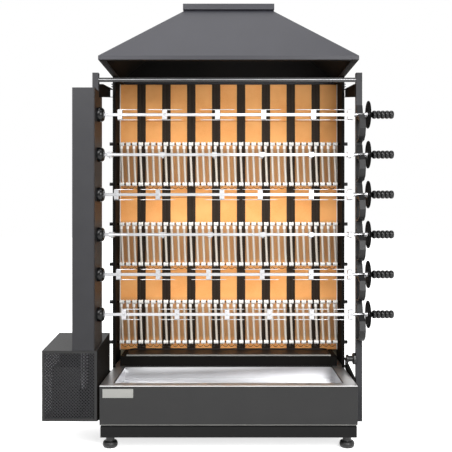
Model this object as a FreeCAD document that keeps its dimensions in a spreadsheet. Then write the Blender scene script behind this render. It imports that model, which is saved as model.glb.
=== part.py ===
import FreeCAD, Part
import Sketcher
import math
import os

# Wall-type chicken rotisserie with six spits, in millimetres, +Z up.
# Sub-parts are drawn in the machine frame: x from the middle of the fire, y back from the
# front of the base and z up from the floor. The row frame has its origin under the middle
# of the whole machine, so each node is shifted by the same two amounts.

DRIVING = {
    # Sheet and tube stock
    "sheet_wall": 3.0,
    "rest_gap": 0.3,
    # Base cabinet, plinth and feet
    "base_width": 1137.0,
    "base_depth": 650.0,
    "foot_height": 58.0,
    "plinth_height": 49.0,
    "plinth_inset": 3.0,
    "front_height": 171.0,
    "front_thick": 18.0,
    "front_gap_low": 6.0,
    "front_gap_high": 1.0,
    "foot_radius": 33.5,
    "foot_pad_height": 30.0,
    "foot_neck_radius": 22.0,
    "foot_stud_radius": 6.0,
    "foot_stud_reach": 33.0,
    "foot_inset_side": 38.0,
    "foot_inset_end": 60.0,
    "stud_clearance": 0.08,
    # Drip pan, its opening and its drawer runners
    "deck_side_margin": 53.5,
    "pan_opening_depth": 370.0,
    "pan_front_margin": 50.0,
    "pan_depth": 58.0,
    "pan_sheet": 1.5,
    "pan_side_lap": 4.0,
    "pan_rim_gap": 2.5,
    "pan_rim_width": 15.0,
    "slide_width": 11.0,
    "slide_height": 18.0,
    "rail_leg": 22.0,
    "rail_thick": 3.0,
    # Firebox
    "firebox_front": 384.0,
    "sill_front": 422.0,
    "sill_height": 47.0,
    "sill_side_gap": 28.5,
    "fire_height": 1389.0,
    "wall_drop": 45.0,
    "wall_flange": 10.0,
    "tile_width": 87.0,
    "tile_edge_gap": 3.4,
    "tile_columns": 9.0,
    "tile_length": 399.0,
    "tile_thick": 22.0,
    "back_thick": 18.0,
    "channel_groove_width": 14.0,
    "channel_groove_depth": 7.0,
    "tray_side_gap": 28.0,
    "tray_height": 8.0,
    "tray_corner": 18.0,
    # Heater banks
    "bank_y": 512.0,
    "bank_low": 57.0,
    "bank_middle": 454.0,
    "bank_high": 862.0,
    "bank_span": 205.0,
    "bead_edge_gap": 11.75,
    "bead_length": 25.5,
    "bead_height": 20.0,
    "beads_per_row": 35.0,
    "heater_radius": 5.5,
    "heater_lean": 8.0,
    "bead_rod_radius": 4.0,
    "rod_cap_radius": 10.0,
    "rod_cap_length": 35.0,
    # Posts, crossbar and arms
    "post_size": 28.0,
    "post_wall": 2.5,
    "post_front": 112.0,
    "post_side_gap": 9.5,
    "post_foot": 9.0,
    "post_drop": 35.0,
    "crossbar_drop": 58.0,
    "crossbar_size": 20.0,
    "arm_post_drop": 147.0,
    "arm_wall_drop": 100.0,
    "arm_post_height": 60.0,
    "arm_wall_height": 40.0,
    "arm_post_dip": 34.0,
    "arm_wall_rise": 8.0,
    "arm_lap": 26.0,
    # Spits, forks and cradles
    "spit_y": 78.0,
    "spit_rise": 304.0,
    "spit_pitch": 180.0,
    "bar_size": 13.0,
    "bar_seat": 18.0,
    "journal_lead": 20.0,
    "journal_radius": 8.0,
    "guard_radius": 63.0,
    "guard_gap": 17.0,
    "guard_thick": 6.0,
    "grip_neck": 15.0,
    "grip_length": 96.0,
    "grip_radius": 19.0,
    "grip_groove": 5.0,
    "fork_hub_length": 21.0,
    "fork_hub_height": 43.0,
    "fork_hub_width": 22.0,
    "fork_bore_gap": 0.15,
    "tine_size": 5.0,
    "tine_length": 70.0,
    "cradle_up": 47.0,
    "cradle_down": 121.0,
    "cradle_reach": 58.0,
    "cradle_wall": 6.0,
    "cradle_gap": 0.3,
    # Drive side
    "plate_side_gap": 18.5,
    "cover_width": 96.0,
    "cover_depth": 190.0,
    "cover_head": 110.0,
    "bearing_radius": 32.5,
    "bearing_length": 28.0,
    "bearing_base": 6.0,
    "cup_radius": 24.0,
    "shaft_radius": 10.0,
    "shaft_clearance": 0.08,
    "shaft_hole": 28.0,
    "socket_radius": 20.0,
    "socket_length": 22.0,
    "socket_gap": 0.3,
    "socket_depth": 13.0,
    "chain_offset": 60.0,
    "sprocket_teeth": 12.0,
    "sprocket_thick": 8.0,
    "chain_pitch": 19.05,
    "chain_plate": 2.5,
    "chain_plate_height": 18.0,
    "chain_side_gap": 0.3,
    # Motor guard
    "motor_rise": 169.0,
    "motor_side_gap": 8.5,
    "guard_width": 242.0,
    "guard_depth": 334.0,
    "guard_back_rise": 26.0,
    "guard_rise": 24.0,
    "guard_height": 310.0,
    "mesh_pitch": 66.0,
    "mesh_hole": 26.0,
    "motor_radius": 55.0,
    "gearbox_size": 120.0,
    # Clamp knob
    "knob_rise": 95.0,
    "knob_radius": 27.0,
    "knob_length": 43.0,
    # Hood and flue collar
    "hood_overhang": 6.5,
    "hood_rim": 18.0,
    "hood_lip": 30.0,
    "hood_rise": 252.0,
    "hood_top_width": 400.0,
    "hood_top_depth": 280.0,
    "collar_height": 27.0,
    "collar_overhang": 12.0,
}

# Where the six forks of each spit are clamped: the first two are measured from the bar's left
# end, the next two from the middle of the fire and the last two back from the round end
FORKS_FROM_LEFT = ((83, 284), (38, 275), (67, 254), (47, 275), (77, 255), (101, 340))
FORKS_FROM_MIDDLE = ((-50, 158), (-64, 150), (-30, 142), (-83, 153), (-90, 151), (-7, 184))
FORKS_FROM_RIGHT = ((179, 12), (190, 15), (189, 15), (191, 12), (190, 15), (187, 12))
# Spits whose forks lie flat, with the tines side by side, when the machine stops
FLAT_SPITS = (2, 4)
SPIT_COUNT = len(FORKS_FROM_MIDDLE)
# Sides of the polygons that stand for bores, studs and the spits' round ends, which repeat often
SHAFT_SIDES = 12

doc = FreeCAD.newDocument("chicken_rotisserie")
sheet = doc.addObject("Spreadsheet::Sheet", "dims")
for row, (alias, value) in enumerate(DRIVING.items(), start=1):
    sheet.set("A%d" % row, alias)
    sheet.set("B%d" % row, str(value))
    sheet.setAlias("B%d" % row, alias)
doc.recompute()


class Size:
    """A length together with the sheet expression that gives it."""

    def __init__(self, value, text):
        self.value = value
        self.text = text

    def __add__(self, other):
        other = as_size(other)
        return Size(self.value + other.value, "(%s + %s)" % (self.text, other.text))

    def __radd__(self, other):
        return as_size(other) + self

    def __sub__(self, other):
        other = as_size(other)
        return Size(self.value - other.value, "(%s - %s)" % (self.text, other.text))

    def __rsub__(self, other):
        return as_size(other) - self

    def __mul__(self, other):
        other = as_size(other)
        return Size(self.value * other.value, "(%s * %s)" % (self.text, other.text))

    def __rmul__(self, other):
        return as_size(other) * self

    def __truediv__(self, other):
        other = as_size(other)
        return Size(self.value / other.value, "(%s / %s)" % (self.text, other.text))

    def __neg__(self):
        return Size(-self.value, "(0 - %s)" % self.text)


def as_size(number):
    """Turn a plain number into a Size, and leave a Size as it is."""
    if isinstance(number, Size):
        return number
    return Size(float(number), "%.6g" % number if number >= 0 else "(0 - %.6g)" % -number)


def dim(alias):
    """Read one driving dimension from the sheet."""
    return Size(float(getattr(sheet, alias)), "dims." + alias)


def bind(obj, prop, size):
    """Bind a property of an object to a size."""
    size = as_size(size)
    obj.setExpression(prop, size.text)


def put(obj, x=0, y=0, z=0):
    """Bind the place of an object."""
    for prop, size in (("x", x), ("y", y), ("z", z)):
        bind(obj, "Placement.Base." + prop, size)
    return obj


def block(name, x, y, z):
    """A Part::Box between two bounds along each axis."""
    box = doc.addObject("Part::Box", name)
    for prop, (low, high) in (("Length", x), ("Width", y), ("Height", z)):
        bind(box, prop, as_size(high) - low)
    return put(box, x[0], y[0], z[0])


def turn(obj, axis, degrees):
    """Give an object a fixed rotation about an axis through its own base point."""
    obj.Placement.Rotation = FreeCAD.Rotation(FreeCAD.Vector(*axis), degrees)
    return obj


def rod(name, radius, length, x, y, z, axis="x"):
    """A Part::Cylinder that runs along +x, +y or +z from a point."""
    cylinder = doc.addObject("Part::Cylinder", name)
    bind(cylinder, "Radius", radius)
    bind(cylinder, "Height", length)
    if axis == "x":
        turn(cylinder, (0, 1, 0), 90)
    if axis == "y":
        turn(cylinder, (1, 0, 0), -90)
    return put(cylinder, x, y, z)


def cut(name, base, *tools):
    """Take one or more solids away from a base."""
    tool = tools[0] if len(tools) == 1 else fuse(name + "_tools", *tools)
    result = doc.addObject("Part::Cut", name)
    result.Base = base
    result.Tool = tool
    return result


def fuse(name, *shapes):
    """Join solids that meet or overlap into one."""
    result = doc.addObject("Part::MultiFuse", name)
    result.Shapes = list(shapes)
    result.Refine = True
    return result


def group(name, *shapes):
    """Keep separate solids together in one node."""
    result = doc.addObject("Part::Compound", name)
    result.Links = list(shapes)
    return result


def new_body(name):
    """An empty PartDesign::Body."""
    return doc.addObject("PartDesign::Body", name)


def attach(body, name, plane, offset):
    """A sketch on one of the body's own origin planes, moved along its normal."""
    sketch = body.newObject("Sketcher::SketchObject", name)
    support = [item for item in body.Origin.OriginFeatures if item.Role == plane]
    sketch.AttachmentSupport = (support[0], [""])
    sketch.MapMode = "FlatFace"
    bind(sketch, "AttachmentOffset.Base.z", offset)
    return sketch


def fix_point(sketch, geometry, end, u, v):
    """Hold a sketch point at two sizes from the sketch's origin."""
    for kind, axis, size in (("DistanceX", -2, as_size(u)), ("DistanceY", -1, as_size(v))):
        if size.text == "0":
            sketch.addConstraint(Sketcher.Constraint("PointOnObject", geometry, end, axis))
            continue
        index = sketch.addConstraint(
            Sketcher.Constraint(kind, -1, 1, geometry, end, size.value)
        )
        sketch.setExpression("Constraints[%d]" % index, size.text)


def outline(body, name, plane, corners, offset=0):
    """Sketch a closed outline of straight edges through fully held corners."""
    sketch = attach(body, name, plane, offset)
    points = [FreeCAD.Vector(as_size(u).value, as_size(v).value, 0) for u, v in corners]
    count = len(points)
    for index in range(count):
        start = points[index]
        end = points[(index + 1) % count]
        sketch.addGeometry(Part.LineSegment(start, end), False)
    for index in range(count):
        follower = (index + 1) % count
        sketch.addConstraint(Sketcher.Constraint("Coincident", index, 2, follower, 1))
    for index, (u, v) in enumerate(corners):
        fix_point(sketch, index, 1, u, v)
    return sketch


def circle(body, name, plane, u, v, radius, offset=0):
    """Sketch a circle whose centre and radius are held."""
    sketch = attach(body, name, plane, offset)
    centre = FreeCAD.Vector(as_size(u).value, as_size(v).value, 0)
    normal = FreeCAD.Vector(0, 0, 1)
    sketch.addGeometry(Part.Circle(centre, normal, as_size(radius).value), False)
    fix_point(sketch, 0, 3, u, v)
    index = sketch.addConstraint(Sketcher.Constraint("Radius", 0, as_size(radius).value))
    sketch.setExpression("Constraints[%d]" % index, as_size(radius).text)
    return sketch


def pad(body, sketch, length, backwards=False):
    """Raise a sketch into a solid of the body."""
    feature = body.newObject("PartDesign::Pad", sketch.Name + "_pad")
    feature.Profile = sketch
    bind(feature, "Length", length)
    feature.Reversed = backwards
    return feature


def pocket(body, sketch, length, backwards=False):
    """Sink a sketch into the body by a length."""
    feature = body.newObject("PartDesign::Pocket", sketch.Name + "_pocket")
    feature.Profile = sketch
    bind(feature, "Length", length)
    feature.Reversed = backwards
    return feature


def regular(count, radius, centre_u=0, centre_v=0, start=0.0):
    """The corners of a regular polygon around a centre, as sizes."""
    corners = []
    for index in range(count):
        angle = math.radians(start + 360.0 * index / count)
        corners.append((centre_u + radius * math.cos(angle), centre_v + radius * math.sin(angle)))
    return corners


def eased(count, radius, centre_u=0, centre_v=0):
    """A regular polygon whose flats, not its corners, lie on the radius: a hole for a shaft."""
    return regular(count, radius / math.cos(math.pi / count), centre_u, centre_v)


def rectangle(u_low, u_high, v_low, v_high):
    """The corners of a rectangle between bounds."""
    return [(u_low, v_low), (u_high, v_low), (u_high, v_high), (u_low, v_high)]


def copies(name, source, places):
    """Separate copies of one solid; a place is x, y, z and a turn in degrees about x."""
    doc.recompute()
    solids = []
    for x, y, z, degrees in places:
        copy = source.Shape.copy()
        spot = FreeCAD.Vector(*[as_size(size).value for size in (x, y, z)])
        rotation = FreeCAD.Rotation(FreeCAD.Vector(1, 0, 0), degrees)
        copy.Placement = FreeCAD.Placement(spot, rotation).multiply(copy.Placement)
        solids.append(copy)
    feature = doc.addObject("Part::Feature", name)
    feature.Shape = Part.makeCompound(solids)
    return feature


nodes = []


def node(obj, label):
    """Name a finished sub-part and move it from the machine frame to the row frame."""
    obj.Label = label
    put(obj, fire_x, front_y, 0)
    nodes.append(obj)
    return obj


# Sizes worked out from the driving dimensions
wall = dim("sheet_wall")
gap = dim("rest_gap")
half_base = dim("base_width") / 2
depth = dim("base_depth")
plinth_top = dim("foot_height") + dim("plinth_height")
front_bottom = plinth_top + dim("front_gap_low")
front_top = front_bottom + dim("front_height")
deck_bottom = front_top
deck_top = deck_bottom + wall
sill_top = deck_top + dim("sill_height")
hood_bottom = sill_top + dim("fire_height")
back_front = depth - dim("back_thick")
wall_outer = half_base + wall
opening_half = half_base - dim("deck_side_margin")
opening_back = dim("pan_front_margin") + dim("pan_opening_depth")
pan_half = opening_half + dim("pan_side_lap")
pan_front = dim("pan_front_margin") - dim("pan_side_lap")
pan_back = opening_back + dim("pan_side_lap")
rim_top = deck_bottom - dim("pan_rim_gap")
slide_top = rim_top - dim("pan_sheet")
spit_y = dim("spit_y")
tile_span = (half_base - dim("tile_edge_gap")) * 2 - dim("tile_width")
tile_pitch = tile_span / (sheet.tile_columns - 1)
plate_outer = wall_outer + dim("plate_side_gap")
post_left_inner = plate_outer + wall
post_right_inner = wall_outer + dim("post_side_gap")
chain_x = plate_outer + dim("chain_offset")
journal_left = post_right_inner - dim("journal_lead")
bar_left = plate_outer - dim("bar_seat")
guard_left = post_right_inner + dim("post_size") + dim("guard_gap")
guard_inner = wall_outer + dim("motor_side_gap")
guard_outer = guard_inner + dim("guard_width")
guard_bottom = plinth_top + dim("guard_rise")
guard_top = guard_bottom + dim("guard_height")
motor_z = guard_bottom + dim("motor_rise")
grip_left = guard_left + dim("guard_thick") + dim("grip_neck")
grip_end = grip_left + dim("grip_length")
fire_x = (guard_outer - grip_end) / 2
front_y = -depth / 2


def spit_z(number):
    """Height of a spit's axis, counted from the top one."""
    return deck_top + dim("spit_rise") + dim("spit_pitch") * (SPIT_COUNT - number)


def guard_roof(y):
    """Height of the motor guard's top, which rises from front to back, at a depth."""
    return guard_top + dim("guard_back_rise") * y / dim("guard_depth")


# Base cabinet
def make_base_cabinet():
    """Sides, back and bottom of the base as one folded shell, open in front and on top."""
    front = dim("front_thick") + gap
    shell = block("cabinet_shell", (-half_base, half_base), (front, depth), (plinth_top, deck_bottom))
    room = block(
        "cabinet_room",
        (wall - half_base, half_base - wall),
        (front - 1, depth - wall),
        (plinth_top + wall, deck_bottom + 1),
    )
    node(cut("cabinet", shell, room), "base_cabinet")


def foot_places():
    """The four feet as name, x and y."""
    side = half_base - dim("foot_inset_side")
    near = dim("foot_inset_end")
    far = depth - dim("foot_inset_end")
    return (
        ("foot_front_left", -side, near),
        ("foot_front_right", side, near),
        ("foot_rear_left", -side, far),
        ("foot_rear_right", side, far),
    )


def make_plinth():
    """Dark recessed plinth tray with a hole for each foot's stud."""
    inset = dim("plinth_inset")
    low = dim("foot_height")
    tray = new_body("plinth")
    half = half_base - inset
    rim = rectangle(-half, half, inset, depth - inset)
    pad(tray, outline(tray, "plinth_rim", "XY_Plane", rim, low), plinth_top - low)
    room = rectangle(wall - half, half - wall, inset + wall, depth - inset - wall)
    hollow = outline(tray, "plinth_room", "XY_Plane", room, plinth_top)
    pocket(tray, hollow, plinth_top - low - wall)
    radius = dim("foot_stud_radius") + dim("stud_clearance")
    for name, x, y in foot_places():
        hole = outline(tray, "hole_" + name, "XY_Plane", eased(SHAFT_SIDES, radius, x, y), low + wall)
        pocket(tray, hole, wall)
    node(tray, "plinth_frame")


def make_feet():
    """Levelling feet: a pad, a hexagon neck and a stud that turns in the plinth."""
    radius = dim("foot_radius")
    pad_top = dim("foot_pad_height")
    neck_top = dim("foot_height") - gap
    stud_top = dim("foot_height") + dim("foot_stud_reach")
    for name, x, y in foot_places():
        body = new_body(name + "_body")
        disc = outline(body, name + "_disc", "XY_Plane", regular(14, radius, x, y))
        pad(body, disc, pad_top)
        neck_radius = dim("foot_neck_radius")
        neck = outline(body, name + "_neck", "XY_Plane", regular(6, neck_radius, x, y), pad_top)
        pad(body, neck, neck_top - pad_top)
        screw = regular(SHAFT_SIDES, dim("foot_stud_radius"), x, y)
        stud = outline(body, name + "_stud", "XY_Plane", screw, neck_top)
        pad(body, stud, stud_top - neck_top)
        node(body, name)


def make_deck():
    """Bright deck over the base with the drip pan's opening in it."""
    plate = block("deck_plate", (-half_base, half_base), (0, depth), (deck_bottom, deck_top))
    opening = block(
        "deck_opening",
        (-opening_half, opening_half),
        (dim("pan_front_margin"), opening_back),
        (deck_bottom - 1, deck_top + 1),
    )
    node(cut("deck", plate, opening), "pan_top_frame")


def make_drawer():
    """Drawer front, drip pan and the inner runners under the pan's rim."""
    thick = dim("front_thick")
    top = front_top - dim("front_gap_high")
    panel = new_body("front_panel")
    face = outline(
        panel, "front_face", "XZ_Plane", rectangle(-half_base, half_base, front_bottom, top), -thick
    )
    pad(panel, face, thick)
    hollow = outline(
        panel,
        "front_hollow",
        "XZ_Plane",
        rectangle(wall - half_base, half_base - wall, front_bottom + wall, top - wall),
        -thick,
    )
    pocket(panel, hollow, thick - wall, backwards=True)
    strip = block(
        "front_stiffener",
        (-pan_half - dim("slide_width"), pan_half + dim("slide_width")),
        (wall, thick),
        (slide_top - dim("slide_height"), slide_top),
    )
    node(fuse("drawer_front_solid", panel, strip), "drawer_front")
    skin = dim("pan_sheet")
    bottom = rim_top - dim("pan_depth")
    rim = dim("pan_rim_width")
    tub = block("pan_tub", (-pan_half, pan_half), (pan_front, pan_back), (bottom - skin, rim_top))
    flange = block(
        "pan_flange", (-pan_half - rim, pan_half + rim), (pan_front, pan_back), (slide_top, rim_top)
    )
    room = block(
        "pan_room",
        (skin - pan_half, pan_half - skin),
        (pan_front + skin, pan_back - skin),
        (bottom, rim_top + 1),
    )
    node(cut("pan", fuse("pan_outer", tub, flange), room), "drip_pan")
    slides = []
    rails = []
    low = slide_top - dim("slide_height")
    leg = dim("rail_leg")
    ledge = dim("rail_thick")
    inner = half_base - wall
    for side, sign in (("left", -1), ("right", 1)):
        near = (pan_half + gap) * sign
        far = (pan_half + gap + dim("slide_width")) * sign
        bounds = (far, near) if sign < 0 else (near, far)
        slides.append(block("slide_" + side, bounds, (thick, pan_back), (low, slide_top)))
        reach = (pan_half + gap) * sign
        end = inner * sign
        tread = (end, reach) if sign < 0 else (reach, end)
        skirt = (end, end + ledge) if sign < 0 else (end - ledge, end)
        shelf = block(
            "rail_shelf_" + side, tread, (thick + 7, pan_back), (low - gap - ledge, low - gap)
        )
        web = block(
            "rail_web_" + side, skirt, (thick + 7, pan_back), (low - gap - ledge, low - gap + leg)
        )
        rails.append(fuse("rail_" + side, shelf, web))
    node(group("slides", *slides), "drawer_slides")
    node(group("rails", *rails), "drawer_rails")


# Firebox
def make_firebox():
    """Floor, side walls, back panel and crumb tray of the firebox."""
    half_sill = half_base - dim("sill_side_gap")
    front = dim("sill_front")
    shell = block("sill_shell", (-half_sill, half_sill), (front, back_front), (deck_top, sill_top))
    room = block(
        "sill_room",
        (wall - half_sill, half_sill - wall),
        (front + wall, back_front - wall),
        (deck_top - 1, sill_top - wall),
    )
    node(cut("sill", shell, room), "firebox_floor")

    tray_half = half_sill - dim("tray_side_gap")
    low = front + 8
    high = back_front - dim("tile_thick") - 4
    corner = dim("tray_corner")

    def tray_outline(name, inset, offset):
        """Rectangle with cut corners, drawn in from the tray's edge."""
        half = tray_half - inset
        near = low + inset
        far = high - inset
        points = [
            (corner - half, near),
            (half - corner, near),
            (half, near + corner),
            (half, far - corner),
            (half - corner, far),
            (corner - half, far),
            (-half, far - corner),
            (-half, near + corner),
        ]
        return outline(tray, name, "XY_Plane", points, offset)

    tray = new_body("tray_body")
    skin = wall / 2
    pad(tray, tray_outline("tray_edge", as_size(0), sill_top), dim("tray_height"))
    room = tray_outline("tray_room", skin, sill_top + dim("tray_height"))
    pocket(tray, room, dim("tray_height") - skin)
    node(tray, "crumb_tray")

    face = dim("firebox_front")
    flange = dim("wall_flange")
    walls = []
    for side, sign in (("left", -1), ("right", 1)):
        body = new_body("wall_" + side)
        points = [
            (wall_outer * sign, face),
            (wall_outer * sign, depth),
            (half_base * sign, depth),
            (half_base * sign, face + wall),
            ((half_base - flange) * sign, face + wall),
            ((half_base - flange) * sign, face),
        ]
        fold = outline(body, "fold_" + side, "XY_Plane", points, deck_top)
        pad(body, fold, hood_bottom - deck_top)
        skirt = [
            (wall_outer * sign, face),
            (wall_outer * sign, depth),
            (half_base * sign, depth),
            (half_base * sign, face),
        ]
        drop = outline(body, "skirt_" + side, "XY_Plane", skirt, deck_top - dim("wall_drop"))
        pad(body, drop, dim("wall_drop"))
        walls.append(body)
    node(group("walls", *walls), "side_walls")

    for name, front, back in (
        ("insulation_board", back_front, depth - wall),
        ("back_panel", depth - wall, depth),
    ):
        body = new_body(name + "_body")
        plan = rectangle(-half_base, half_base, front, back)
        pad(body, outline(body, name + "_plan", "XY_Plane", plan, deck_top), hood_bottom - deck_top)
        node(body, name)


def tile_x(index):
    """Middle of a tile column, counted from the left."""
    return tile_pitch * (index - (sheet.tile_columns - 1) / 2)


def make_tiles():
    """Columns of refractory tiles with grooved steel channels between them."""
    columns = int(sheet.tile_columns)
    width = dim("tile_width")
    thick = dim("tile_thick")
    length = dim("tile_length")
    face = back_front - thick
    rows = int(math.ceil(sheet.fire_height / sheet.tile_length))
    tiles = []
    for column in range(columns):
        x = tile_x(column)
        for row in range(rows):
            bottom = sill_top + length * row
            top = hood_bottom if row == rows - 1 else bottom + length
            bounds = (x - width / 2, x + width / 2)
            tiles.append(
                block("tile_%d_%d" % (column, row), bounds, (face, back_front), (bottom, top))
            )
    node(group("tiles", *tiles), "refractory_tiles")

    body = new_body("channel")
    half = (tile_pitch - width) / 2
    groove = dim("channel_groove_width") / 2
    front = face - 2
    floor = front + dim("channel_groove_depth")
    skin = wall
    points = [
        (-half, front),
        (-groove, front),
        (-groove, floor),
        (groove, floor),
        (groove, front),
        (half, front),
        (half, front + skin),
        (groove + skin, front + skin),
        (groove + skin, floor + skin),
        (-groove - skin, floor + skin),
        (-groove - skin, front + skin),
        (-half, front + skin),
    ]
    pad(body, outline(body, "channel_fold", "XY_Plane", points, sill_top), hood_bottom - sill_top)
    spots = [
        ((tile_x(column) + tile_x(column + 1)) / 2, 0, 0, 0) for column in range(columns - 1)
    ]
    node(copies("channels", body, spots), "tile_channels")


# Heater banks
def bank_levels():
    """The three banks as name and height of the lower row's axis."""
    return (
        ("lower", sill_top + dim("bank_low")),
        ("middle", sill_top + dim("bank_middle")),
        ("upper", sill_top + dim("bank_high")),
    )


def make_banks():
    """Rows of insulator beads on rods, with leaning heater rods from row to row."""
    y = dim("bank_y")
    count = int(sheet.beads_per_row)
    span = dim("bank_span")
    height = dim("bead_height")
    length = dim("bead_length")
    lean = dim("heater_lean")
    bead = new_body("bead")
    cross = rectangle(-length / 2, length / 2, y - height / 2, y + height / 2)
    pad(bead, outline(bead, "bead_face", "XY_Plane", cross, -height / 2), height)

    heater = new_body("heater")
    free = span - height
    foot = outline(heater, "heater_foot", "XY_Plane", regular(4, dim("heater_radius"), lean / 2, y))
    head = outline(
        heater, "heater_head", "XY_Plane", regular(4, dim("heater_radius"), -lean / 2, y), free
    )
    loft = heater.newObject("PartDesign::AdditiveLoft", "heater_loft")
    loft.Profile = foot
    loft.Sections = [head]
    loft.Ruled = True

    pitch = (half_base * 2 - dim("bead_edge_gap") * 2 - length) / (count - 1)
    stations = [pitch * (index - (count - 1) / 2) for index in range(count)]
    beads = []
    heaters = []
    rods = []
    radius = dim("bead_rod_radius")
    cap = dim("rod_cap_radius")
    for name, level in bank_levels():
        beads.extend((x, 0, z, 0) for z in (level, level + span) for x in stations)
        heaters.extend((x, 0, level + height / 2, 0) for x in stations)
        for tier, z in (("low", level), ("high", level + span)):
            title = "rod_%s_%s" % (name, tier)
            stem = new_body(title)
            section = outline(stem, title + "_end", "YZ_Plane", regular(6, radius, y, z), -half_base)
            pad(stem, section, half_base * 2)
            rods.append(stem)
            for side, start in (("left", -wall_outer - dim("rod_cap_length")), ("right", wall_outer)):
                end = new_body("%s_%s" % (title, side))
                ring = regular(6, cap, y, z)
                lid = outline(end, "%s_%s_face" % (title, side), "YZ_Plane", ring, start)
                pad(end, lid, dim("rod_cap_length"))
                rods.append(end)
    node(copies("beads", bead, beads), "insulator_beads")
    node(copies("heaters", heater, heaters), "heater_rods")
    node(group("rods", *rods), "bead_rods")


# Posts, crossbar and arms
def make_posts():
    """Square tube posts: the right one hangs free, the left one stands in the drive cover."""
    size = dim("post_size")
    skin = dim("post_wall")
    front = dim("post_front")
    top = hood_bottom - dim("post_drop")
    posts = []
    right = post_right_inner
    left = -post_left_inner - size
    cover_floor = guard_roof(front + size) + wall
    for side, x, bottom in (
        ("right", right, plinth_top - dim("post_foot")),
        ("left", left, cover_floor),
    ):
        tube = block("post_" + side, (x, x + size), (front, front + size), (bottom, top))
        bore = block(
            "post_bore_" + side,
            (x + skin, x + size - skin),
            (front + skin, front + size - skin),
            (bottom - 1, top - skin),
        )
        posts.append(cut("post_tube_" + side, tube, bore))
    node(group("post_pair", *posts), "posts")

    bar = new_body("crossbar_body")
    high = hood_bottom - dim("crossbar_drop")
    low = high - dim("crossbar_size")
    back = front + dim("crossbar_size")
    points = [
        (front, low),
        (front + wall, low),
        (front + wall, high - wall),
        (back, high - wall),
        (back, high),
        (front, high),
    ]
    start = -post_left_inner
    fold = outline(bar, "crossbar_fold", "YZ_Plane", points, start)
    pad(bar, fold, post_left_inner + right)
    node(bar, "crossbar")


def make_arms():
    """Tapered channel arms from the firebox walls to the posts, open towards the fire."""
    front = dim("post_front")
    rear = dim("firebox_front") + dim("arm_lap")
    wall_height = dim("arm_wall_height")
    post_height = dim("arm_post_height")
    right = (wall_outer, post_right_inner)
    left = (-plate_outer, -wall_outer)
    arms = []
    high = (hood_bottom - dim("arm_post_drop"), hood_bottom - dim("arm_wall_drop"))
    low = (deck_bottom - dim("arm_post_dip"), deck_bottom + dim("arm_wall_rise"))
    for name, (low_x, high_x), (at_post, at_wall), tall, mirrored in (
        ("upper_right", right, high, post_height, False),
        ("upper_left", left, high, post_height, True),
        ("lower_right", right, low, wall_height, False),
    ):
        body = new_body("arm_" + name)
        points = [
            (front, at_post),
            (rear, at_wall),
            (rear, at_wall + wall_height),
            (front, at_post + tall),
        ]
        side = outline(body, "arm_side_" + name, "YZ_Plane", points, low_x)
        pad(body, side, high_x - low_x)
        recess_points = [
            (front - 1, at_post + wall),
            (rear + 1, at_wall + wall),
            (rear + 1, at_wall + wall_height - wall),
            (front - 1, at_post + tall - wall),
        ]
        fire_side = high_x if mirrored else low_x
        recess = outline(body, "arm_recess_" + name, "YZ_Plane", recess_points, fire_side)
        pocket(body, recess, high_x - low_x - wall, backwards=not mirrored)
        arms.append(body)
    node(group("arms", *arms), "post_arms")


# Hood
def wedge(name, bottom, top, low, high):
    """A four-sided taper between two heights; bottom and top are x and y bounds."""
    shape = doc.addObject("Part::Wedge", name)
    (x_low, x_high), (y_low, y_high) = bottom
    (x2_low, x2_high), (y2_low, y2_high) = top
    for prop, size in (
        ("Xmin", x_low),
        ("Xmax", x_high),
        ("Zmin", -as_size(y_high)),
        ("Zmax", -as_size(y_low)),
        ("X2min", x2_low),
        ("X2max", x2_high),
        ("Z2min", -as_size(y2_high)),
        ("Z2max", -as_size(y2_low)),
    ):
        bind(shape, prop, size)
    shape.Ymin = 0
    bind(shape, "Ymax", high - low)
    turn(shape, (1, 0, 0), 90)
    return put(shape, 0, 0, low)


def make_hood():
    """Four-sided hood with a rim, an inner lip and a collar for the flue."""
    half = half_base + dim("hood_overhang")
    top_half = dim("hood_top_width") / 2
    y_mid = depth / 2
    top_front = y_mid - dim("hood_top_depth") / 2
    top_back = y_mid + dim("hood_top_depth") / 2
    rim_height = hood_bottom + dim("hood_rim")
    crown = rim_height + dim("hood_rise")
    lip = dim("hood_lip")
    rim = block("hood_rim_block", (-half, half), (0, depth), (hood_bottom, rim_height))
    slope = wedge(
        "hood_slope",
        ((-half, half), (0, depth)),
        ((-top_half, top_half), (top_front, top_back)),
        rim_height,
        crown,
    )
    rim_room = block(
        "hood_rim_room",
        (wall - half, half - wall),
        (wall, depth - wall),
        (hood_bottom + wall, rim_height),
    )
    slope_room = wedge(
        "hood_slope_room",
        ((wall - half, half - wall), (wall, depth - wall)),
        ((wall - top_half, top_half - wall), (top_front + wall, top_back - wall)),
        rim_height,
        crown,
    )
    mouth = block(
        "hood_mouth", (lip - half, half - lip), (lip, depth - lip), (hood_bottom - 1, hood_bottom + wall)
    )
    outer = fuse("hood_outer", rim, slope)
    node(cut("hood_shell", outer, rim_room, slope_room, mouth), "hood")

    over = dim("collar_overhang")
    collar_top = crown + dim("collar_height")
    ring = block(
        "collar_block",
        (-top_half - over, top_half + over),
        (top_front - over, top_back + over),
        (crown, collar_top),
    )
    throat = block(
        "collar_throat",
        (wall - top_half, top_half - wall),
        (top_front + wall, top_back - wall),
        (crown - 1, collar_top + 1),
    )
    rebate = block(
        "collar_rebate",
        (wall - top_half - over, top_half + over - wall),
        (top_front - over + wall, top_back + over - wall),
        (crown + wall, collar_top + 1),
    )
    node(cut("collar", ring, throat, rebate), "flue_collar")


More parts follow.
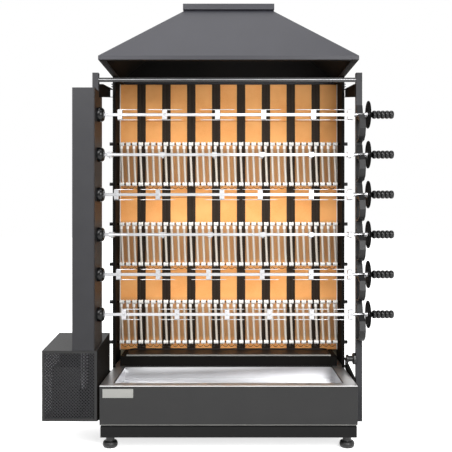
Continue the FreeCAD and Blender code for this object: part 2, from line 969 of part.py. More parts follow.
# Spits
def make_spit_prototypes():
    """One spit bar, its handle, one double fork and two end forks, drawn about the x axis."""
    bar = dim("bar_size") / 2
    journal = dim("journal_radius")
    spit = new_body("spit_model")
    start = journal_left
    square = outline(spit, "bar_end", "YZ_Plane", rectangle(-bar, bar, -bar, bar), -bar_left)
    pad(spit, square, bar_left + start)
    guard_right = guard_left + dim("guard_thick")
    round_end = outline(spit, "journal_end", "YZ_Plane", regular(SHAFT_SIDES, journal), start)
    pad(spit, round_end, guard_left - start)

    handle = new_body("handle_model")
    disc = outline(handle, "guard_edge", "YZ_Plane", regular(18, dim("guard_radius")), guard_left)
    pad(handle, disc, dim("guard_thick"))
    neck = outline(handle, "neck_end", "YZ_Plane", regular(8, journal), guard_right)
    pad(handle, neck, dim("grip_neck"))
    ribs = 5
    rib = dim("grip_length") / ribs
    high = dim("grip_radius")
    low = high - dim("grip_groove")
    sections = [outline(handle, "grip_ring_0", "YZ_Plane", regular(8, low), grip_left)]
    for index in range(ribs):
        middle = grip_left + rib * (index + 0.5)
        end = grip_left + rib * (index + 1)
        for kind, radius, x in (("crest", high, middle), ("valley", low, end)):
            name = "grip_%s_%d" % (kind, index)
            sections.append(outline(handle, name, "YZ_Plane", regular(8, radius), x))
    loft = handle.newObject("PartDesign::AdditiveLoft", "grip_loft")
    loft.Profile = sections[0]
    loft.Sections = sections[1:]
    loft.Ruled = True

    hub_half = dim("fork_hub_length") / 2
    hub_height = dim("fork_hub_height") / 2
    hub_width = dim("fork_hub_width") / 2
    hub = new_body("fork_hub")
    face = rectangle(-hub_width, hub_width, -hub_height, hub_height)
    pad(hub, outline(hub, "hub_face", "YZ_Plane", face, -hub_half), dim("fork_hub_length"))
    bore = bar + dim("fork_bore_gap")
    eye = outline(hub, "hub_bore", "YZ_Plane", rectangle(-bore, bore, -bore, bore), -hub_half)
    pocket(hub, eye, dim("fork_hub_length"), backwards=True)

    tine = dim("tine_size")
    reach = hub_half + dim("tine_length")

    def tines(name, low_x, high_x):
        """A hub with a tine along its top and bottom faces."""
        bars = []
        for place, bottom in (("top", hub_height), ("bottom", -hub_height - tine)):
            bars.append(
                block(
                    "tine_%s_%s" % (name, place),
                    (low_x, high_x),
                    (-tine / 2, tine / 2),
                    (bottom, bottom + tine),
                )
            )
        return group("fork_" + name, hub, *bars)

    return {
        "spit": spit,
        "handle": handle,
        "middle": tines("middle", -reach, reach),
        "first": tines("first", -hub_half, reach),
        "last": tines("last", -reach, hub_half),
    }


def make_spits(models):
    """Six spits, each with its handle and its row of forks."""
    for number in range(1, SPIT_COUNT + 1):
        z = spit_z(number)
        stations = [inset - bar_left for inset in FORKS_FROM_LEFT[number - 1]]
        stations += [as_size(x) for x in FORKS_FROM_MIDDLE[number - 1]]
        stations += [journal_left - inset for inset in FORKS_FROM_RIGHT[number - 1]]
        for kind in ("spit", "handle"):
            copy = copies("%s_copy_%d" % (kind, number), models[kind], [(0, spit_y, z, 0)])
            node(copy, "%s_%d" % (kind, number))
        degrees = 90 if number in FLAT_SPITS else 0
        doc.recompute()
        solids = []
        for index, station in enumerate(stations):
            kind = "first" if index == 0 else "last" if index == len(stations) - 1 else "middle"
            copy = models[kind].Shape.copy()
            spot = FreeCAD.Vector(station.value, spit_y.value, z.value)
            rotation = FreeCAD.Rotation(FreeCAD.Vector(1, 0, 0), degrees)
            copy.Placement = FreeCAD.Placement(spot, rotation)
            solids.extend(copy.Solids)
        forks = doc.addObject("Part::Feature", "forks_copy_%d" % number)
        forks.Shape = Part.makeCompound(solids)
        node(forks, "forks_%d" % number)


def make_cradles():
    """Open hooks on the right post that carry the spits' round ends."""
    body = new_body("cradle")
    back = dim("post_front") - spit_y
    reach = -dim("cradle_reach")
    ring = dim("journal_radius") + dim("cradle_gap")
    skin = dim("cradle_wall")
    shelf = ring + skin / 3
    down = -dim("cradle_down")
    points = [
        (back, dim("cradle_up")),
        (back - skin, dim("cradle_up")),
        (shelf + skin / 2, skin),
        (shelf, 0),
        (-shelf - skin, 0),
        (reach * 0.85, -ring * 3),
        (reach, down * 0.55),
        (reach * 0.8, down * 0.8),
        (reach * 0.3, down * 0.96),
        (back - skin * 2, down),
        (back, down),
    ]
    side = outline(body, "cradle_side", "YZ_Plane", points)
    pad(body, side, dim("post_size"))
    notch = outline(body, "cradle_notch", "YZ_Plane", eased(SHAFT_SIDES, ring))
    pocket(body, notch, dim("post_size"), backwards=True)
    window_points = [
        (back - skin, -ring - skin),
        (reach * 0.85 + skin, -ring * 3 - skin),
        (reach + skin, down * 0.55),
        (reach * 0.8 + skin, down * 0.76),
        (reach * 0.3 + skin / 2, down * 0.9),
        (back - skin, down + skin),
    ]
    window = outline(body, "cradle_window", "YZ_Plane", window_points)
    pocket(body, window, dim("post_size"), backwards=True)
    x = post_right_inner
    spots = [(x, spit_y, spit_z(number + 1), 0) for number in range(SPIT_COUNT)]
    node(copies("cradles", body, spots), "spit_cradles")


# Drive side
def make_drive_cover():
    """Tall cover over the chain, the plate that closes it and the bearings on the plate."""
    plate_face = -plate_outer
    plate_back = plate_face - wall
    outer = plate_back - dim("cover_width")
    top = spit_z(1) + dim("cover_head")
    deep = dim("cover_depth")
    side_points = [(0, guard_top), (deep, guard_roof(deep)), (deep, top), (0, top)]
    room_points = [
        (wall, guard_roof(wall) + wall),
        (deep - wall, guard_roof(deep - wall) + wall),
        (deep - wall, top - wall),
        (wall, top - wall),
    ]
    shell = new_body("cover_shell")
    pad(shell, outline(shell, "cover_side", "YZ_Plane", side_points, outer), dim("cover_width"))
    room = outline(shell, "cover_room", "YZ_Plane", room_points, plate_back)
    pocket(shell, room, dim("cover_width") - wall)
    size = dim("post_size")
    post_x = -post_left_inner - size
    front = dim("post_front")
    notch = block(
        "cover_notch",
        (post_x - gap, plate_back + 1),
        (front - gap, front + size + gap),
        (top - wall - 1, top + 1),
    )
    chain = -chain_x
    reach = sprocket_radius() + dim("chain_plate_height")
    side = dim("sprocket_thick") + dim("chain_plate") * 2 + dim("chain_side_gap")
    way = block(
        "cover_way",
        (chain - side, chain + side),
        (spit_y - reach, spit_y + reach),
        (guard_top - 1, guard_roof(deep) + wall),
    )
    node(cut("cover", shell, notch, way), "drive_cover")

    plate = new_body("plate_sheet")
    pad(plate, outline(plate, "plate_side", "YZ_Plane", side_points, plate_back), wall)
    hole = dim("shaft_hole") / 2
    holes = []
    for number in range(1, SPIT_COUNT + 1):
        z = spit_z(number)
        holes.append(
            block(
                "plate_hole_%d" % number,
                (plate_back - 1, plate_face + 1),
                (spit_y - hole, spit_y + hole),
                (z - hole, z + hole),
            )
        )
    node(cut("plate", plate, *holes), "bearing_plate")

    bearing = new_body("bearing")
    base = dim("bearing_base")
    bore = dim("shaft_radius") + dim("shaft_clearance")
    length = dim("bearing_length")
    rim = outline(bearing, "bearing_rim", "YZ_Plane", regular(14, dim("bearing_radius")))
    pad(bearing, rim, length)
    cup = outline(bearing, "bearing_cup", "YZ_Plane", regular(10, dim("cup_radius")), length)
    pocket(bearing, cup, length - base)
    hole = outline(bearing, "bearing_bore", "YZ_Plane", eased(SHAFT_SIDES, bore), base)
    pocket(bearing, hole, base)
    spots = [(plate_face, spit_y, spit_z(number + 1), 0) for number in range(SPIT_COUNT)]
    node(copies("bearings", bearing, spots), "bearing_flanges")


def sprocket_radius():
    """Pitch radius of the sprocket: half the chain pitch over the sine of half a tooth."""
    half_tooth = math.pi / DRIVING["sprocket_teeth"]
    return dim("chain_pitch") / (2 * math.sin(half_tooth))


def sprocket_outline(body, name, offset):
    """A toothed rim: each tooth slopes from its tip down to the root between two teeth."""
    teeth = int(sheet.sprocket_teeth)
    pitch = sprocket_radius()
    tip = pitch + dim("chain_pitch") * 0.22
    root = pitch - dim("chain_pitch") * 0.28
    corners = []
    for tooth in range(teeth):
        for radius, turn_by in ((tip, 0), (root, 0.5)):
            angle = 2 * math.pi * (tooth + turn_by) / teeth
            corners.append((radius * math.cos(angle), radius * math.sin(angle)))
    return outline(body, name, "YZ_Plane", corners, offset)


def make_drive_shafts():
    """Drive shafts with a toothed wheel inside the cover and a square socket outside it."""
    shaft = dim("shaft_radius")
    chain = -chain_x
    half = dim("sprocket_thick") / 2
    socket_start = dim("bearing_base") + gap * 4 - plate_outer
    socket_end = socket_start + dim("socket_length")
    start = chain - half * 2
    bearing_start = -plate_outer - wall
    model = new_body("drive_model")
    stem = outline(model, "stem_end", "YZ_Plane", regular(6, shaft), start)
    pad(model, stem, bearing_start - start)
    journal = circle(model, "journal_start", "YZ_Plane", 0, 0, shaft, bearing_start)
    pad(model, journal, socket_start - bearing_start)
    boss = outline(model, "boss_end", "YZ_Plane", regular(10, dim("socket_radius")), socket_start)
    pad(model, boss, dim("socket_length"))
    pad(model, sprocket_outline(model, "wheel_teeth", chain - half), half * 2)
    square = dim("bar_size") / 2 + dim("socket_gap")
    mouth = outline(
        model,
        "socket_mouth",
        "YZ_Plane",
        rectangle(-square, square, -square, square),
        socket_end - dim("socket_depth"),
    )
    pocket(model, mouth, dim("socket_depth"), backwards=True)
    for number in range(1, SPIT_COUNT + 1):
        place = [(0, spit_y, spit_z(number), 0)]
        node(copies("drive_copy_%d" % number, model, place), "drive_shaft_%d" % number)

    stub = new_body("motor_wheel")
    gearbox_face = chain - half * 4
    stem = outline(stub, "motor_stem", "YZ_Plane", regular(6, shaft), gearbox_face + gap)
    pad(stub, stem, half * 4)
    pad(stub, sprocket_outline(stub, "motor_teeth", chain - half), half * 2)
    place = [(0, spit_y, motor_z, 0)]
    node(copies("motor_wheel_copy", stub, place), "motor_sprocket")


def make_chain():
    """The chain's two rows of side plates, as long loops on both sides of the wheels."""
    chain = -chain_x
    pitch = sprocket_radius()
    half_plate = dim("chain_plate_height") / 2
    low = motor_z
    high = spit_z(1)
    loops = []
    half = dim("sprocket_thick") / 2
    side = dim("chain_side_gap")
    thick = dim("chain_plate")
    for name, x in (("inner", chain + half + side), ("outer", chain - half - side - thick)):
        body = new_body("chain_" + name)
        for edge, radius in (("rim", pitch + half_plate), ("gap", pitch - half_plate)):
            sketch = outline(body, "chain_%s_%s" % (name, edge), "YZ_Plane", stadium(radius, low, high), x)
            if edge == "rim":
                pad(body, sketch, thick)
            else:
                pocket(body, sketch, thick, backwards=True)
        loops.append(body)
    node(group("chain", *loops), "drive_chain")


def stadium(radius, low, high):
    """Corners of a long loop with round ends about two axes, one above the other."""
    steps = 6
    corners = []
    for centre, start in ((high, 0), (low, math.pi)):
        for step in range(steps + 1):
            angle = start + math.pi * step / steps
            corners.append((spit_y + radius * math.cos(angle), centre + radius * math.sin(angle)))
    return corners


def make_motor_guard():
    """Perforated guard around the gear motor, and the plate that holds it to the base.

    The plate closes the guard's open side, and a frame below the deck spaces it off the base.
    """
    outer = -guard_outer
    inner = -guard_inner
    low = guard_bottom
    top = guard_top
    deep = dim("guard_depth")
    side_points = [(0, low), (deep, low), (deep, guard_roof(deep)), (0, top)]
    room_points = [
        (wall, low + wall),
        (deep - wall, low + wall),
        (deep - wall, guard_roof(deep - wall) - wall),
        (wall, guard_roof(wall) - wall),
    ]
    shell = new_body("guard_shell")
    pad(shell, outline(shell, "guard_side", "YZ_Plane", side_points, outer), dim("guard_width"))
    room = outline(shell, "guard_room", "YZ_Plane", room_points, inner)
    pocket(shell, room, dim("guard_width") - wall)
    chain = -chain_x
    reach = sprocket_radius() + dim("chain_plate_height")
    side = dim("sprocket_thick") + dim("chain_plate") * 2 + dim("chain_side_gap")
    way = block(
        "guard_way",
        (chain - side, chain + side),
        (spit_y - reach, spit_y + reach),
        (top - wall - 1, guard_roof(deep)),
    )
    body = cut("guard_plain", shell, way)
    doc.recompute()
    pitch = sheet.mesh_pitch
    size = sheet.mesh_hole
    thick = sheet.sheet_wall + 2
    holes = []
    rows = int((top.value - low.value) // pitch)
    first_z = (low.value + top.value - pitch * (rows - 1)) / 2
    across = int((inner.value - outer.value) // pitch)
    first_x = (inner.value + outer.value - pitch * (across - 1)) / 2
    along = int(deep.value // pitch)
    first_y = (deep.value - pitch * (along - 1)) / 2
    for row in range(rows):
        z = first_z + pitch * row
        for column in range(across):
            x = first_x + pitch * column
            front = diamond(size, (x, -1, z), (0, 1, 0), thick)
            holes.append(front)
        for column in range(along):
            y = first_y + pitch * column
            holes.append(diamond(size, (outer.value - 1, y, z), (1, 0, 0), thick))
    mesh = doc.addObject("Part::Feature", "guard_mesh")
    mesh.Shape = Part.makeCompound(holes)
    node(cut("guard", body, mesh), "motor_guard")

    sheet_body = new_body("mount_sheet")
    pad(sheet_body, outline(sheet_body, "mount_side", "YZ_Plane", side_points, inner), wall)
    behind_front = dim("front_thick") + gap
    frame = block("mount_block", (inner + wall, -half_base), (behind_front, deep), (low, deck_bottom))
    hollow = block(
        "mount_room",
        (inner + wall - 1, 1 - half_base),
        (behind_front + wall, deep - wall),
        (low + wall, deck_bottom - wall),
    )
    node(fuse("mount", sheet_body, cut("mount_frame", frame, hollow)), "motor_plate")


def diamond(size, centre, direction, thick):
    """A four-cornered cutter that stands on its corner, pushed along a direction."""
    middle = FreeCAD.Vector(*centre)
    along = FreeCAD.Vector(*direction)
    across = FreeCAD.Vector(0, 0, 1).cross(along) * (size / 2)
    upward = FreeCAD.Vector(0, 0, size / 2)
    corners = [middle + across, middle + upward, middle - across, middle - upward]
    face = Part.Face(Part.makePolygon(corners + corners[:1]))
    return face.extrude(along * thick)


def make_gear_motor():
    """Gearbox on a stand with the motor behind it."""
    size = dim("gearbox_size")
    face = -chain_x - dim("sprocket_thick") * 2
    z = motor_z
    radius = dim("motor_radius")
    floor = guard_bottom + wall
    front = spit_y - size / 3
    box = block("gearbox", (face - size, face), (front, front + size), (z - size / 2, z + size / 2))
    length = size * 4 / 3
    motor = rod("motor_can", radius, length, face - size / 2, front + size, z, "y")
    stand = block("motor_stand", (face - size, face), (front, front + size * 2), (floor, z - size / 2))
    saddle = block(
        "motor_saddle",
        (face - size * 3 / 4, face - size / 4),
        (front + size, front + size * 2),
        (z - size / 2, z - size / 4),
    )
    node(fuse("gear_motor_solid", box, motor, stand, saddle), "gear_motor")


def make_knob():
    """Clamp knob on the inner side of the right post."""
    body = new_body("knob_body")
    y = dim("post_front") + dim("post_size") / 2
    z = deck_top + dim("knob_rise")
    radius = dim("knob_radius")
    end = post_right_inner - gap
    length = dim("knob_length")
    start = end - length
    flange = outline(body, "knob_flange", "YZ_Plane", regular(12, radius, y, z), end - length / 3)
    pad(body, flange, length / 3)
    stem = outline(body, "knob_stem", "YZ_Plane", regular(8, radius / 2, y, z), start + length / 4)
    pad(body, stem, length / 2)
    head = outline(body, "knob_head", "YZ_Plane", regular(12, radius * 0.7, y, z), start)
    pad(body, head, length / 4)
    node(body, "clamp_knob")


make_base_cabinet()
make_plinth()
make_feet()
make_deck()
make_drawer()
make_firebox()
make_tiles()
make_banks()
make_posts()
make_arms()
make_hood()
make_spits(make_spit_prototypes())
make_cradles()
make_drive_cover()
make_drive_shafts()
make_chain()
make_motor_guard()
make_gear_motor()
make_knob()
doc.recompute()

faults = []
for obj in doc.Objects:
    if "Invalid" in obj.State or "Error" in obj.State:
        faults.append("%s is %s" % (obj.Name, obj.State))
for obj in nodes:
    if obj.Shape.isNull() or not obj.Shape.isValid():
        faults.append("%s has no valid shape" % obj.Label)
if faults:
    raise RuntimeError("; ".join(faults))

os.makedirs("parts", exist_ok=True)
for obj in nodes:
    obj.Shape.exportStep(os.path.join("parts", obj.Label + ".step"))
print("%d nodes written" % len(nodes))
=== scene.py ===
"""Looks of a wall rotisserie with six spits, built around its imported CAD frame.

Each sub-assembly is a class whose fields are its real sizes. Its surfaces are worked out as
whole arrays and ride on the CAD bodies. Lengths are metres unless a name says millimetres.
"""

from __future__ import annotations

import logging
import math
from dataclasses import dataclass
from enum import Enum

import bmesh
import bpy
import numpy as np
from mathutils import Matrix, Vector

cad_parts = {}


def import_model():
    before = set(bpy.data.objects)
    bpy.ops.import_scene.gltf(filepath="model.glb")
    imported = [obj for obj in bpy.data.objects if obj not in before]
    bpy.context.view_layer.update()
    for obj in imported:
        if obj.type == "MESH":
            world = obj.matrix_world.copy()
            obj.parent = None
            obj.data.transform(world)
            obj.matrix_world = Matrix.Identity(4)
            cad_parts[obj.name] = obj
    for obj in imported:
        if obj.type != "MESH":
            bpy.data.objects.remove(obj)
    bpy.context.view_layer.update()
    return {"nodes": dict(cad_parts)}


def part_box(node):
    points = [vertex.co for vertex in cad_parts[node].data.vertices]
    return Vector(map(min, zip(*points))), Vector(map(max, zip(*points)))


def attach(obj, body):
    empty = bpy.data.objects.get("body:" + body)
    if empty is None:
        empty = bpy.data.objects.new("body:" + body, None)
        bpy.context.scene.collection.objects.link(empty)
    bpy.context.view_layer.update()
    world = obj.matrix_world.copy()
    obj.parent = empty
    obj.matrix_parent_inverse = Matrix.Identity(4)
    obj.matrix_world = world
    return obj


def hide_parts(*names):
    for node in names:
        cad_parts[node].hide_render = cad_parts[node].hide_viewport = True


log = logging.getLogger("rotisserie")

MM = 0.001
FULL_TURN = 2 * math.pi
WHITE = (1.0, 1.0, 1.0, 1.0)
SPITS = range(1, 7)

# Heater banks, behind which the clay is painted darker, as painted shade of their tubes and as heat
# marks: their number, the lowest one's middle, and about how far it is from one middle to the next
BANKS = 3
BANK_MIDDLE = 493.5 * MM
BANK_PITCH = 402 * MM
# Clay behind the banks, painted darker as shade of the tubes and as heat marks: its colour, its
# share at a bank's middle, and where it starts and ends to fade
SHADE_AND_SCORCH_COLOUR = "#98785a"
SHADE_AND_SCORCH_SHARE = 0.6
SHADE_AND_SCORCH_CORE = 85 * MM
SHADE_AND_SCORCH_END = 120 * MM

# Patches of wear per metre, each about as wide as a hand
WEAR_SCALE = 9.0
WEAR_RANGE = (0.35, 0.65)
GRAIN_RANGE = (0.3, 0.7)
# Greatest share of the shade in the colour, in clay and in every other finish
CLAY_SHADE = 0.75
OTHER_SHADE = 0.5
BUMP_STRENGTH = 0.6
LEAST_ROUGHNESS = 0.04

# Angles in degrees: past the first an edge stays sharp, past the second it is rounded, and
# under the third two faces count as one
SHARP_FROM = 35
ROUNDED_FROM = 40
FLAT_WITHIN = 1
# How far a face's normal has to lean outwards or down to be an outer wall or an underside
OUTER_LEAN = 0.5
UNDER_LEAN = -0.2
MERGE_DISTANCE = 0.01 * MM
# CAD nodes that smoke reaches, and whether it leaves only their outer faces clean
SOOTED = {"hood": False, "side_walls": True}


class Pattern(Enum):
    """How a finish varies over its surface."""

    SPECKLED = "small soft spots, as in powder coat, casting and moulding"
    BRUSHED = "long thin streaks along one direction"
    CLAY = "cloudy patches with darker grains, as in fired clay"


def linear(code: str) -> tuple[float, float, float, float]:
    """Turn an sRGB hex colour to linear light.

    A value v up to 0.04045 becomes v / 12.92, and any other ((v + 0.055) / 1.055) to the
    power 2.4.

    Args:
        code: Six hex digits after a hash sign.

    Returns:
        Red, green, blue and an alpha of one.
    """
    value = np.array([int(code[i : i + 2], 16) for i in (1, 3, 5)]) / 255.0
    light = np.where(value <= 0.04045, value / 12.92, ((value + 0.055) / 1.055) ** 2.4)
    return (*light.tolist(), 1.0)


def add_node(tree: bpy.types.NodeTree, kind: str, inputs: dict[str | int, object] | None = None,
             **settings: object) -> bpy.types.Node:
    """Add one shader node with its settings, values and links.

    Args:
        tree: The material's node tree.
        kind: The node's type.
        inputs: Socket name or number to a value, or to the output that feeds it.
        **settings: Properties of the node itself.

    Returns:
        The new node.
    """
    node = tree.nodes.new(kind)
    for key, value in settings.items():
        setattr(node, key, value)
    for socket, value in (inputs or {}).items():
        if isinstance(value, bpy.types.NodeSocket):
            tree.links.new(value, node.inputs[socket])
        else:
            node.inputs[socket].default_value = value
    return node


def shaded_and_scorched(tree: bpy.types.NodeTree, place: bpy.types.NodeSocket,
             colour: bpy.types.NodeSocket) -> bpy.types.Node:
    """Darken the clay in bands behind the heater banks: painted shade of the tubes, with heat marks.

    The height's distance from the nearest bank's middle is a triangle wave of the height. The
    clay is fully darkened up to one distance, and the colour fades from there to a second.

    Args:
        tree: The material's node tree.
        place: The point on the object.
        colour: The clay's own colour.

    Returns:
        The node that mixes the two, with its result in output 2.
    """
    height = add_node(tree, "ShaderNodeSeparateXYZ", {0: place})
    above = add_node(tree, "ShaderNodeMath", {0: height.outputs["Z"], 1: BANK_MIDDLE},
                     operation="SUBTRACT")
    # There is no bank above the last, so heights stop halfway to the next.
    capped = add_node(tree, "ShaderNodeMath",
                      {0: above.outputs["Value"], 1: BANK_PITCH * (BANKS - 0.5)},
                      operation="MINIMUM")
    away = add_node(tree, "ShaderNodeMath", {0: capped.outputs["Value"], 1: BANK_PITCH / 2},
                    operation="PINGPONG")
    share = add_node(tree, "ShaderNodeMapRange", {
        "Value": away.outputs["Value"], "From Min": SHADE_AND_SCORCH_CORE, "From Max": SHADE_AND_SCORCH_END,
        "To Min": SHADE_AND_SCORCH_SHARE, "To Max": 0.0,
    })
    return add_node(tree, "ShaderNodeMix",
                    {"Factor": share.outputs["Result"], 6: colour, 7: linear(SHADE_AND_SCORCH_COLOUR)},
                    data_type="RGBA")


@dataclass(frozen=True)
class Finish:
    """One real material and how its surface was made.

    Attributes:
        name: The material's common name and how it was made.
        colour: Its main colour in sRGB hex.
        shade: The colour of its darker spots.
        roughness: The middle of its roughness.
        grain: Size of the pattern's spots in millimetres.
        relief: Depth of the pattern in millimetres.
        metallic: One for bare metal and zero for the rest.
        pattern: How it varies.
        streak: How many times longer a brushed finish's spots are along x.
        gloss: Level of the bare reflection, 0.5 for a usual plastic.
        uneven: How far the roughness swings to either side of its middle.
    """

    name: str
    colour: str
    shade: str
    roughness: float
    grain: float
    relief: float
    metallic: float = 0.0
    pattern: Pattern = Pattern.SPECKLED
    streak: float = 1.0
    gloss: float = 0.5
    uneven: float = 0.07

    def material(self) -> bpy.types.Material:
        """Build the node material once, or give back the one already built.

        A fine noise, stretched by the streak, sets roughness and relief. Times a coarse noise
        of wear it sets how far the colour goes to the shade.

        Returns:
            The Blender material of this finish.
        """
        if self.name in bpy.data.materials:
            return bpy.data.materials[self.name]
        material = bpy.data.materials.new(self.name)
        material.use_nodes = True
        tree = material.node_tree
        shader = tree.nodes["Principled BSDF"]
        shader.inputs["Metallic"].default_value = self.metallic
        shader.inputs["Specular IOR Level"].default_value = self.gloss
        place = add_node(tree, "ShaderNodeTexCoord")
        stretches = (self.streak if self.pattern is Pattern.BRUSHED else 1, 1, 1)
        size = [1.0 / (self.grain * MM * stretch) for stretch in stretches]
        mapping = add_node(tree, "ShaderNodeMapping",
                           {"Scale": size, "Vector": place.outputs["Object"]})
        fine = add_node(tree, "ShaderNodeTexNoise",
                        {"Vector": mapping.outputs["Vector"], "Scale": 1.0, "Detail": 3.0})
        wear = add_node(tree, "ShaderNodeTexNoise", {
            "Vector": place.outputs["Object"], "Scale": WEAR_SCALE, "Detail": 5.0
        })
        spread = CLAY_SHADE if self.pattern is Pattern.CLAY else OTHER_SHADE
        blend = add_node(tree, "ShaderNodeMapRange", {
            "Value": wear.outputs["Fac"], "From Min": WEAR_RANGE[0], "From Max": WEAR_RANGE[1],
            "To Max": spread,
        })
        total = add_node(tree, "ShaderNodeMath",
                         {0: fine.outputs["Fac"], 1: blend.outputs["Result"]},
                         operation="MULTIPLY")
        colour = add_node(tree, "ShaderNodeMix", {
            "Factor": total.outputs["Value"], 6: linear(self.colour), 7: linear(self.shade)
        }, data_type="RGBA")
        # Behind the heater banks the clay is painted darker: painted shade of the tubes, with heat
        # marks.
        if self.pattern is Pattern.CLAY:
            colour = shaded_and_scorched(tree, place.outputs["Object"], colour.outputs[2])
        tree.links.new(colour.outputs[2], shader.inputs["Base Color"])
        rough = add_node(tree, "ShaderNodeMapRange", {
            "Value": fine.outputs["Fac"], "From Min": GRAIN_RANGE[0], "From Max": GRAIN_RANGE[1],
            "To Min": max(self.roughness - self.uneven, LEAST_ROUGHNESS),
            "To Max": min(self.roughness + self.uneven, 1.0),
        })
        tree.links.new(rough.outputs["Result"], shader.inputs["Roughness"])
        bump = add_node(tree, "ShaderNodeBump", {
            "Height": fine.outputs["Fac"], "Distance": self.relief * MM,
            "Strength": BUMP_STRENGTH,
        })
        tree.links.new(bump.outputs["Normal"], shader.inputs["Normal"])
        return material


def powder_coat(name: str, colour: str, shade: str, roughness: float, gloss: float) -> Finish:
    """Baked powder coat: a satin skin with a fine orange peel, drawn at 2.5 mm so it shows.

    Args:
        name: The finish's name.
        colour: Its main colour in sRGB hex.
        shade: The colour of its darker spots.
        roughness: The middle of its roughness.
        gloss: Level of the bare reflection.

    Returns:
        The finish.
    """
    return Finish(name, colour, shade, roughness, grain=2.5, relief=0.05, gloss=gloss)


# Powder coat on the cabinet and frame: black, satin, with soft broad reflections
BLACK_COAT = powder_coat("satin_black_powder_coat", "#161617", "#101011", 0.42, 0.25)
# The same black coat on the drawer's front and the guard's panels, painted lighter as dark grey for
# the full light they stand in
FRONT_COAT = powder_coat("satin_black_coat_painted_lit", "#2a2a2a", "#232324", 0.45, 0.2)
# The same black coat on the hood, painted lighter and bluer for the cool light its slope takes from
# above
HOOD_COAT = powder_coat("hood_coat_painted_lit", "#2c2c31", "#252529", 0.42, 0.25)
# The drive cover and the posts are duller and a step lighter.
COVER_COAT = powder_coat("drive_cover_powder_coat", "#39393b", "#2e2e30", 0.45, 0.08)
# The black coat on the punched sheet, painted dark grey for the full light in front, as on the front
# panels, with a soft sheen
MESH_COAT = powder_coat("mesh_coat_painted_lit", "#29292b", "#202022", 0.45, 0.2)
# Matt frame paint with the same peel and nearly no reflections, so the plinth drops back
PLINTH_PAINT = powder_coat("matt_black_frame_paint", "#121212", "#0b0b0b", 0.55, 0.12)
# Sheet beside the fire: soot and heat have left it nearly black and dull. Inside the motor guard
# the same black is painted shade on its back and floor.
SOOT_AND_SHADE_SHEET = Finish(
    "soot_and_shade_black_sheet", "#0d0c0b", "#15110e", roughness=0.7, grain=5.0, relief=0.06, gloss=0.06
)
# Cold-rolled stainless steel, brushed along its length, which spreads a highlight across it
STEEL_SHEET = Finish(
    "brushed_stainless_sheet", "#d2d2d2", "#b4b4b5", roughness=0.36, grain=1.2, relief=0.02,
    metallic=1.0, pattern=Pattern.BRUSHED, streak=60
)
# Deep-drawn stainless steel, smoother than the deck, with blurred images of what is above it
PAN_STEEL = Finish(
    "deep_drawn_stainless", "#c5c5c7", "#aeaeb0", roughness=0.3, grain=1.5, relief=0.003,
    metallic=1.0, pattern=Pattern.BRUSHED, streak=60, uneven=0.02
)
# Tray steel under the fire, browned by smoke and half dull
SMOKED_STEEL = Finish(
    "smoked_tray_steel", "#302c29", "#1c1a18", roughness=0.5, grain=4.0, relief=0.02,
    metallic=0.6, pattern=Pattern.BRUSHED, streak=20
)
# Drawn bar, polished by use, bright along its faces
POLISHED_BAR = Finish(
    "polished_steel_bar", "#b6b6b8", "#98989a", roughness=0.3, grain=1.5, relief=0.003,
    metallic=1.0, pattern=Pattern.BRUSHED, streak=40, uneven=0.03
)
# Machined steel under oil, grey with small darker spots
DULL_STEEL = Finish(
    "oiled_drive_steel", "#8d8d8f", "#5a5a5c", roughness=0.38, grain=3.0, relief=0.03,
    metallic=1.0
)
# Channel steel between the tiles, heat-tinted brown-black and dull
CHANNEL_STEEL = Finish(
    "heat_tinted_channel_steel", "#2e241b", "#1b1612", roughness=0.6, grain=4.0, relief=0.08,
    metallic=0.3, gloss=0.2
)
# Anodised aluminium plate, and the painted highlights on the drawer's hem and the tray's lip: pale
# grey, fine streaks, a soft sheen
PLATE_METAL = Finish(
    "anodised_plate", "#8e8e8a", "#7b7b77", roughness=0.4, grain=1.2, relief=0.01,
    metallic=0.3, pattern=Pattern.BRUSHED, streak=40
)
# Fired refractory clay, dry and chalky, with iron grains and cloudy heat marks
FIRED_CLAY = Finish(
    "fired_refractory_clay", "#ffb86f", "#e68d40", roughness=0.85, grain=3.5, relief=0.25,
    pattern=Pattern.CLAY
)
# Unglazed porcelain: white, with a dull sheen and no grain to speak of
PORCELAIN = Finish(
    "unglazed_porcelain", "#f4f2ee", "#cfcac2", roughness=0.5, grain=4.0, relief=0.05
)
# Heater tubes are wound under a scale that is pale, dry and a little rough.
HEATER_SCALE = Finish(
    "oxidised_heater_tube", "#c6beb3", "#9a8f81", roughness=0.5, grain=3.0, relief=0.15,
    metallic=0.15
)
# Iron casting under gloss paint: black, with one small sharp highlight on a round housing
BLACK_CASTING = Finish(
    "black_painted_casting", "#080809", "#050506", roughness=0.12, grain=1.8, relief=0.03,
    gloss=0.22
)
# Moulded phenolic plastic: hard and black, with a line of light along each rib
MOULDED_BLACK = Finish(
    "moulded_phenolic", "#0b0b0b", "#070707", roughness=0.2, grain=1.2, relief=0.03, gloss=0.3
)
# The same plastic pressed flat: the guard discs are black and dull.
PRESSED_BLACK = Finish(
    "pressed_phenolic", "#060606", "#040404", roughness=0.5, grain=1.5, relief=0.03, gloss=0.03
)
# Moulded rubber of the feet: black, soft, with a faint sheen; the same black paints the shadow line
# round the pan's opening
FOOT_RUBBER = Finish(
    "moulded_rubber", "#161616", "#0e0e0e", roughness=0.45, grain=1.5, relief=0.06
)
# Pressed mineral wool, a fibrous board without any shine
WOOL_BOARD = Finish(
    "pressed_mineral_wool", "#a39a86", "#7d745f", roughness=0.95, grain=4.0, relief=0.5
)


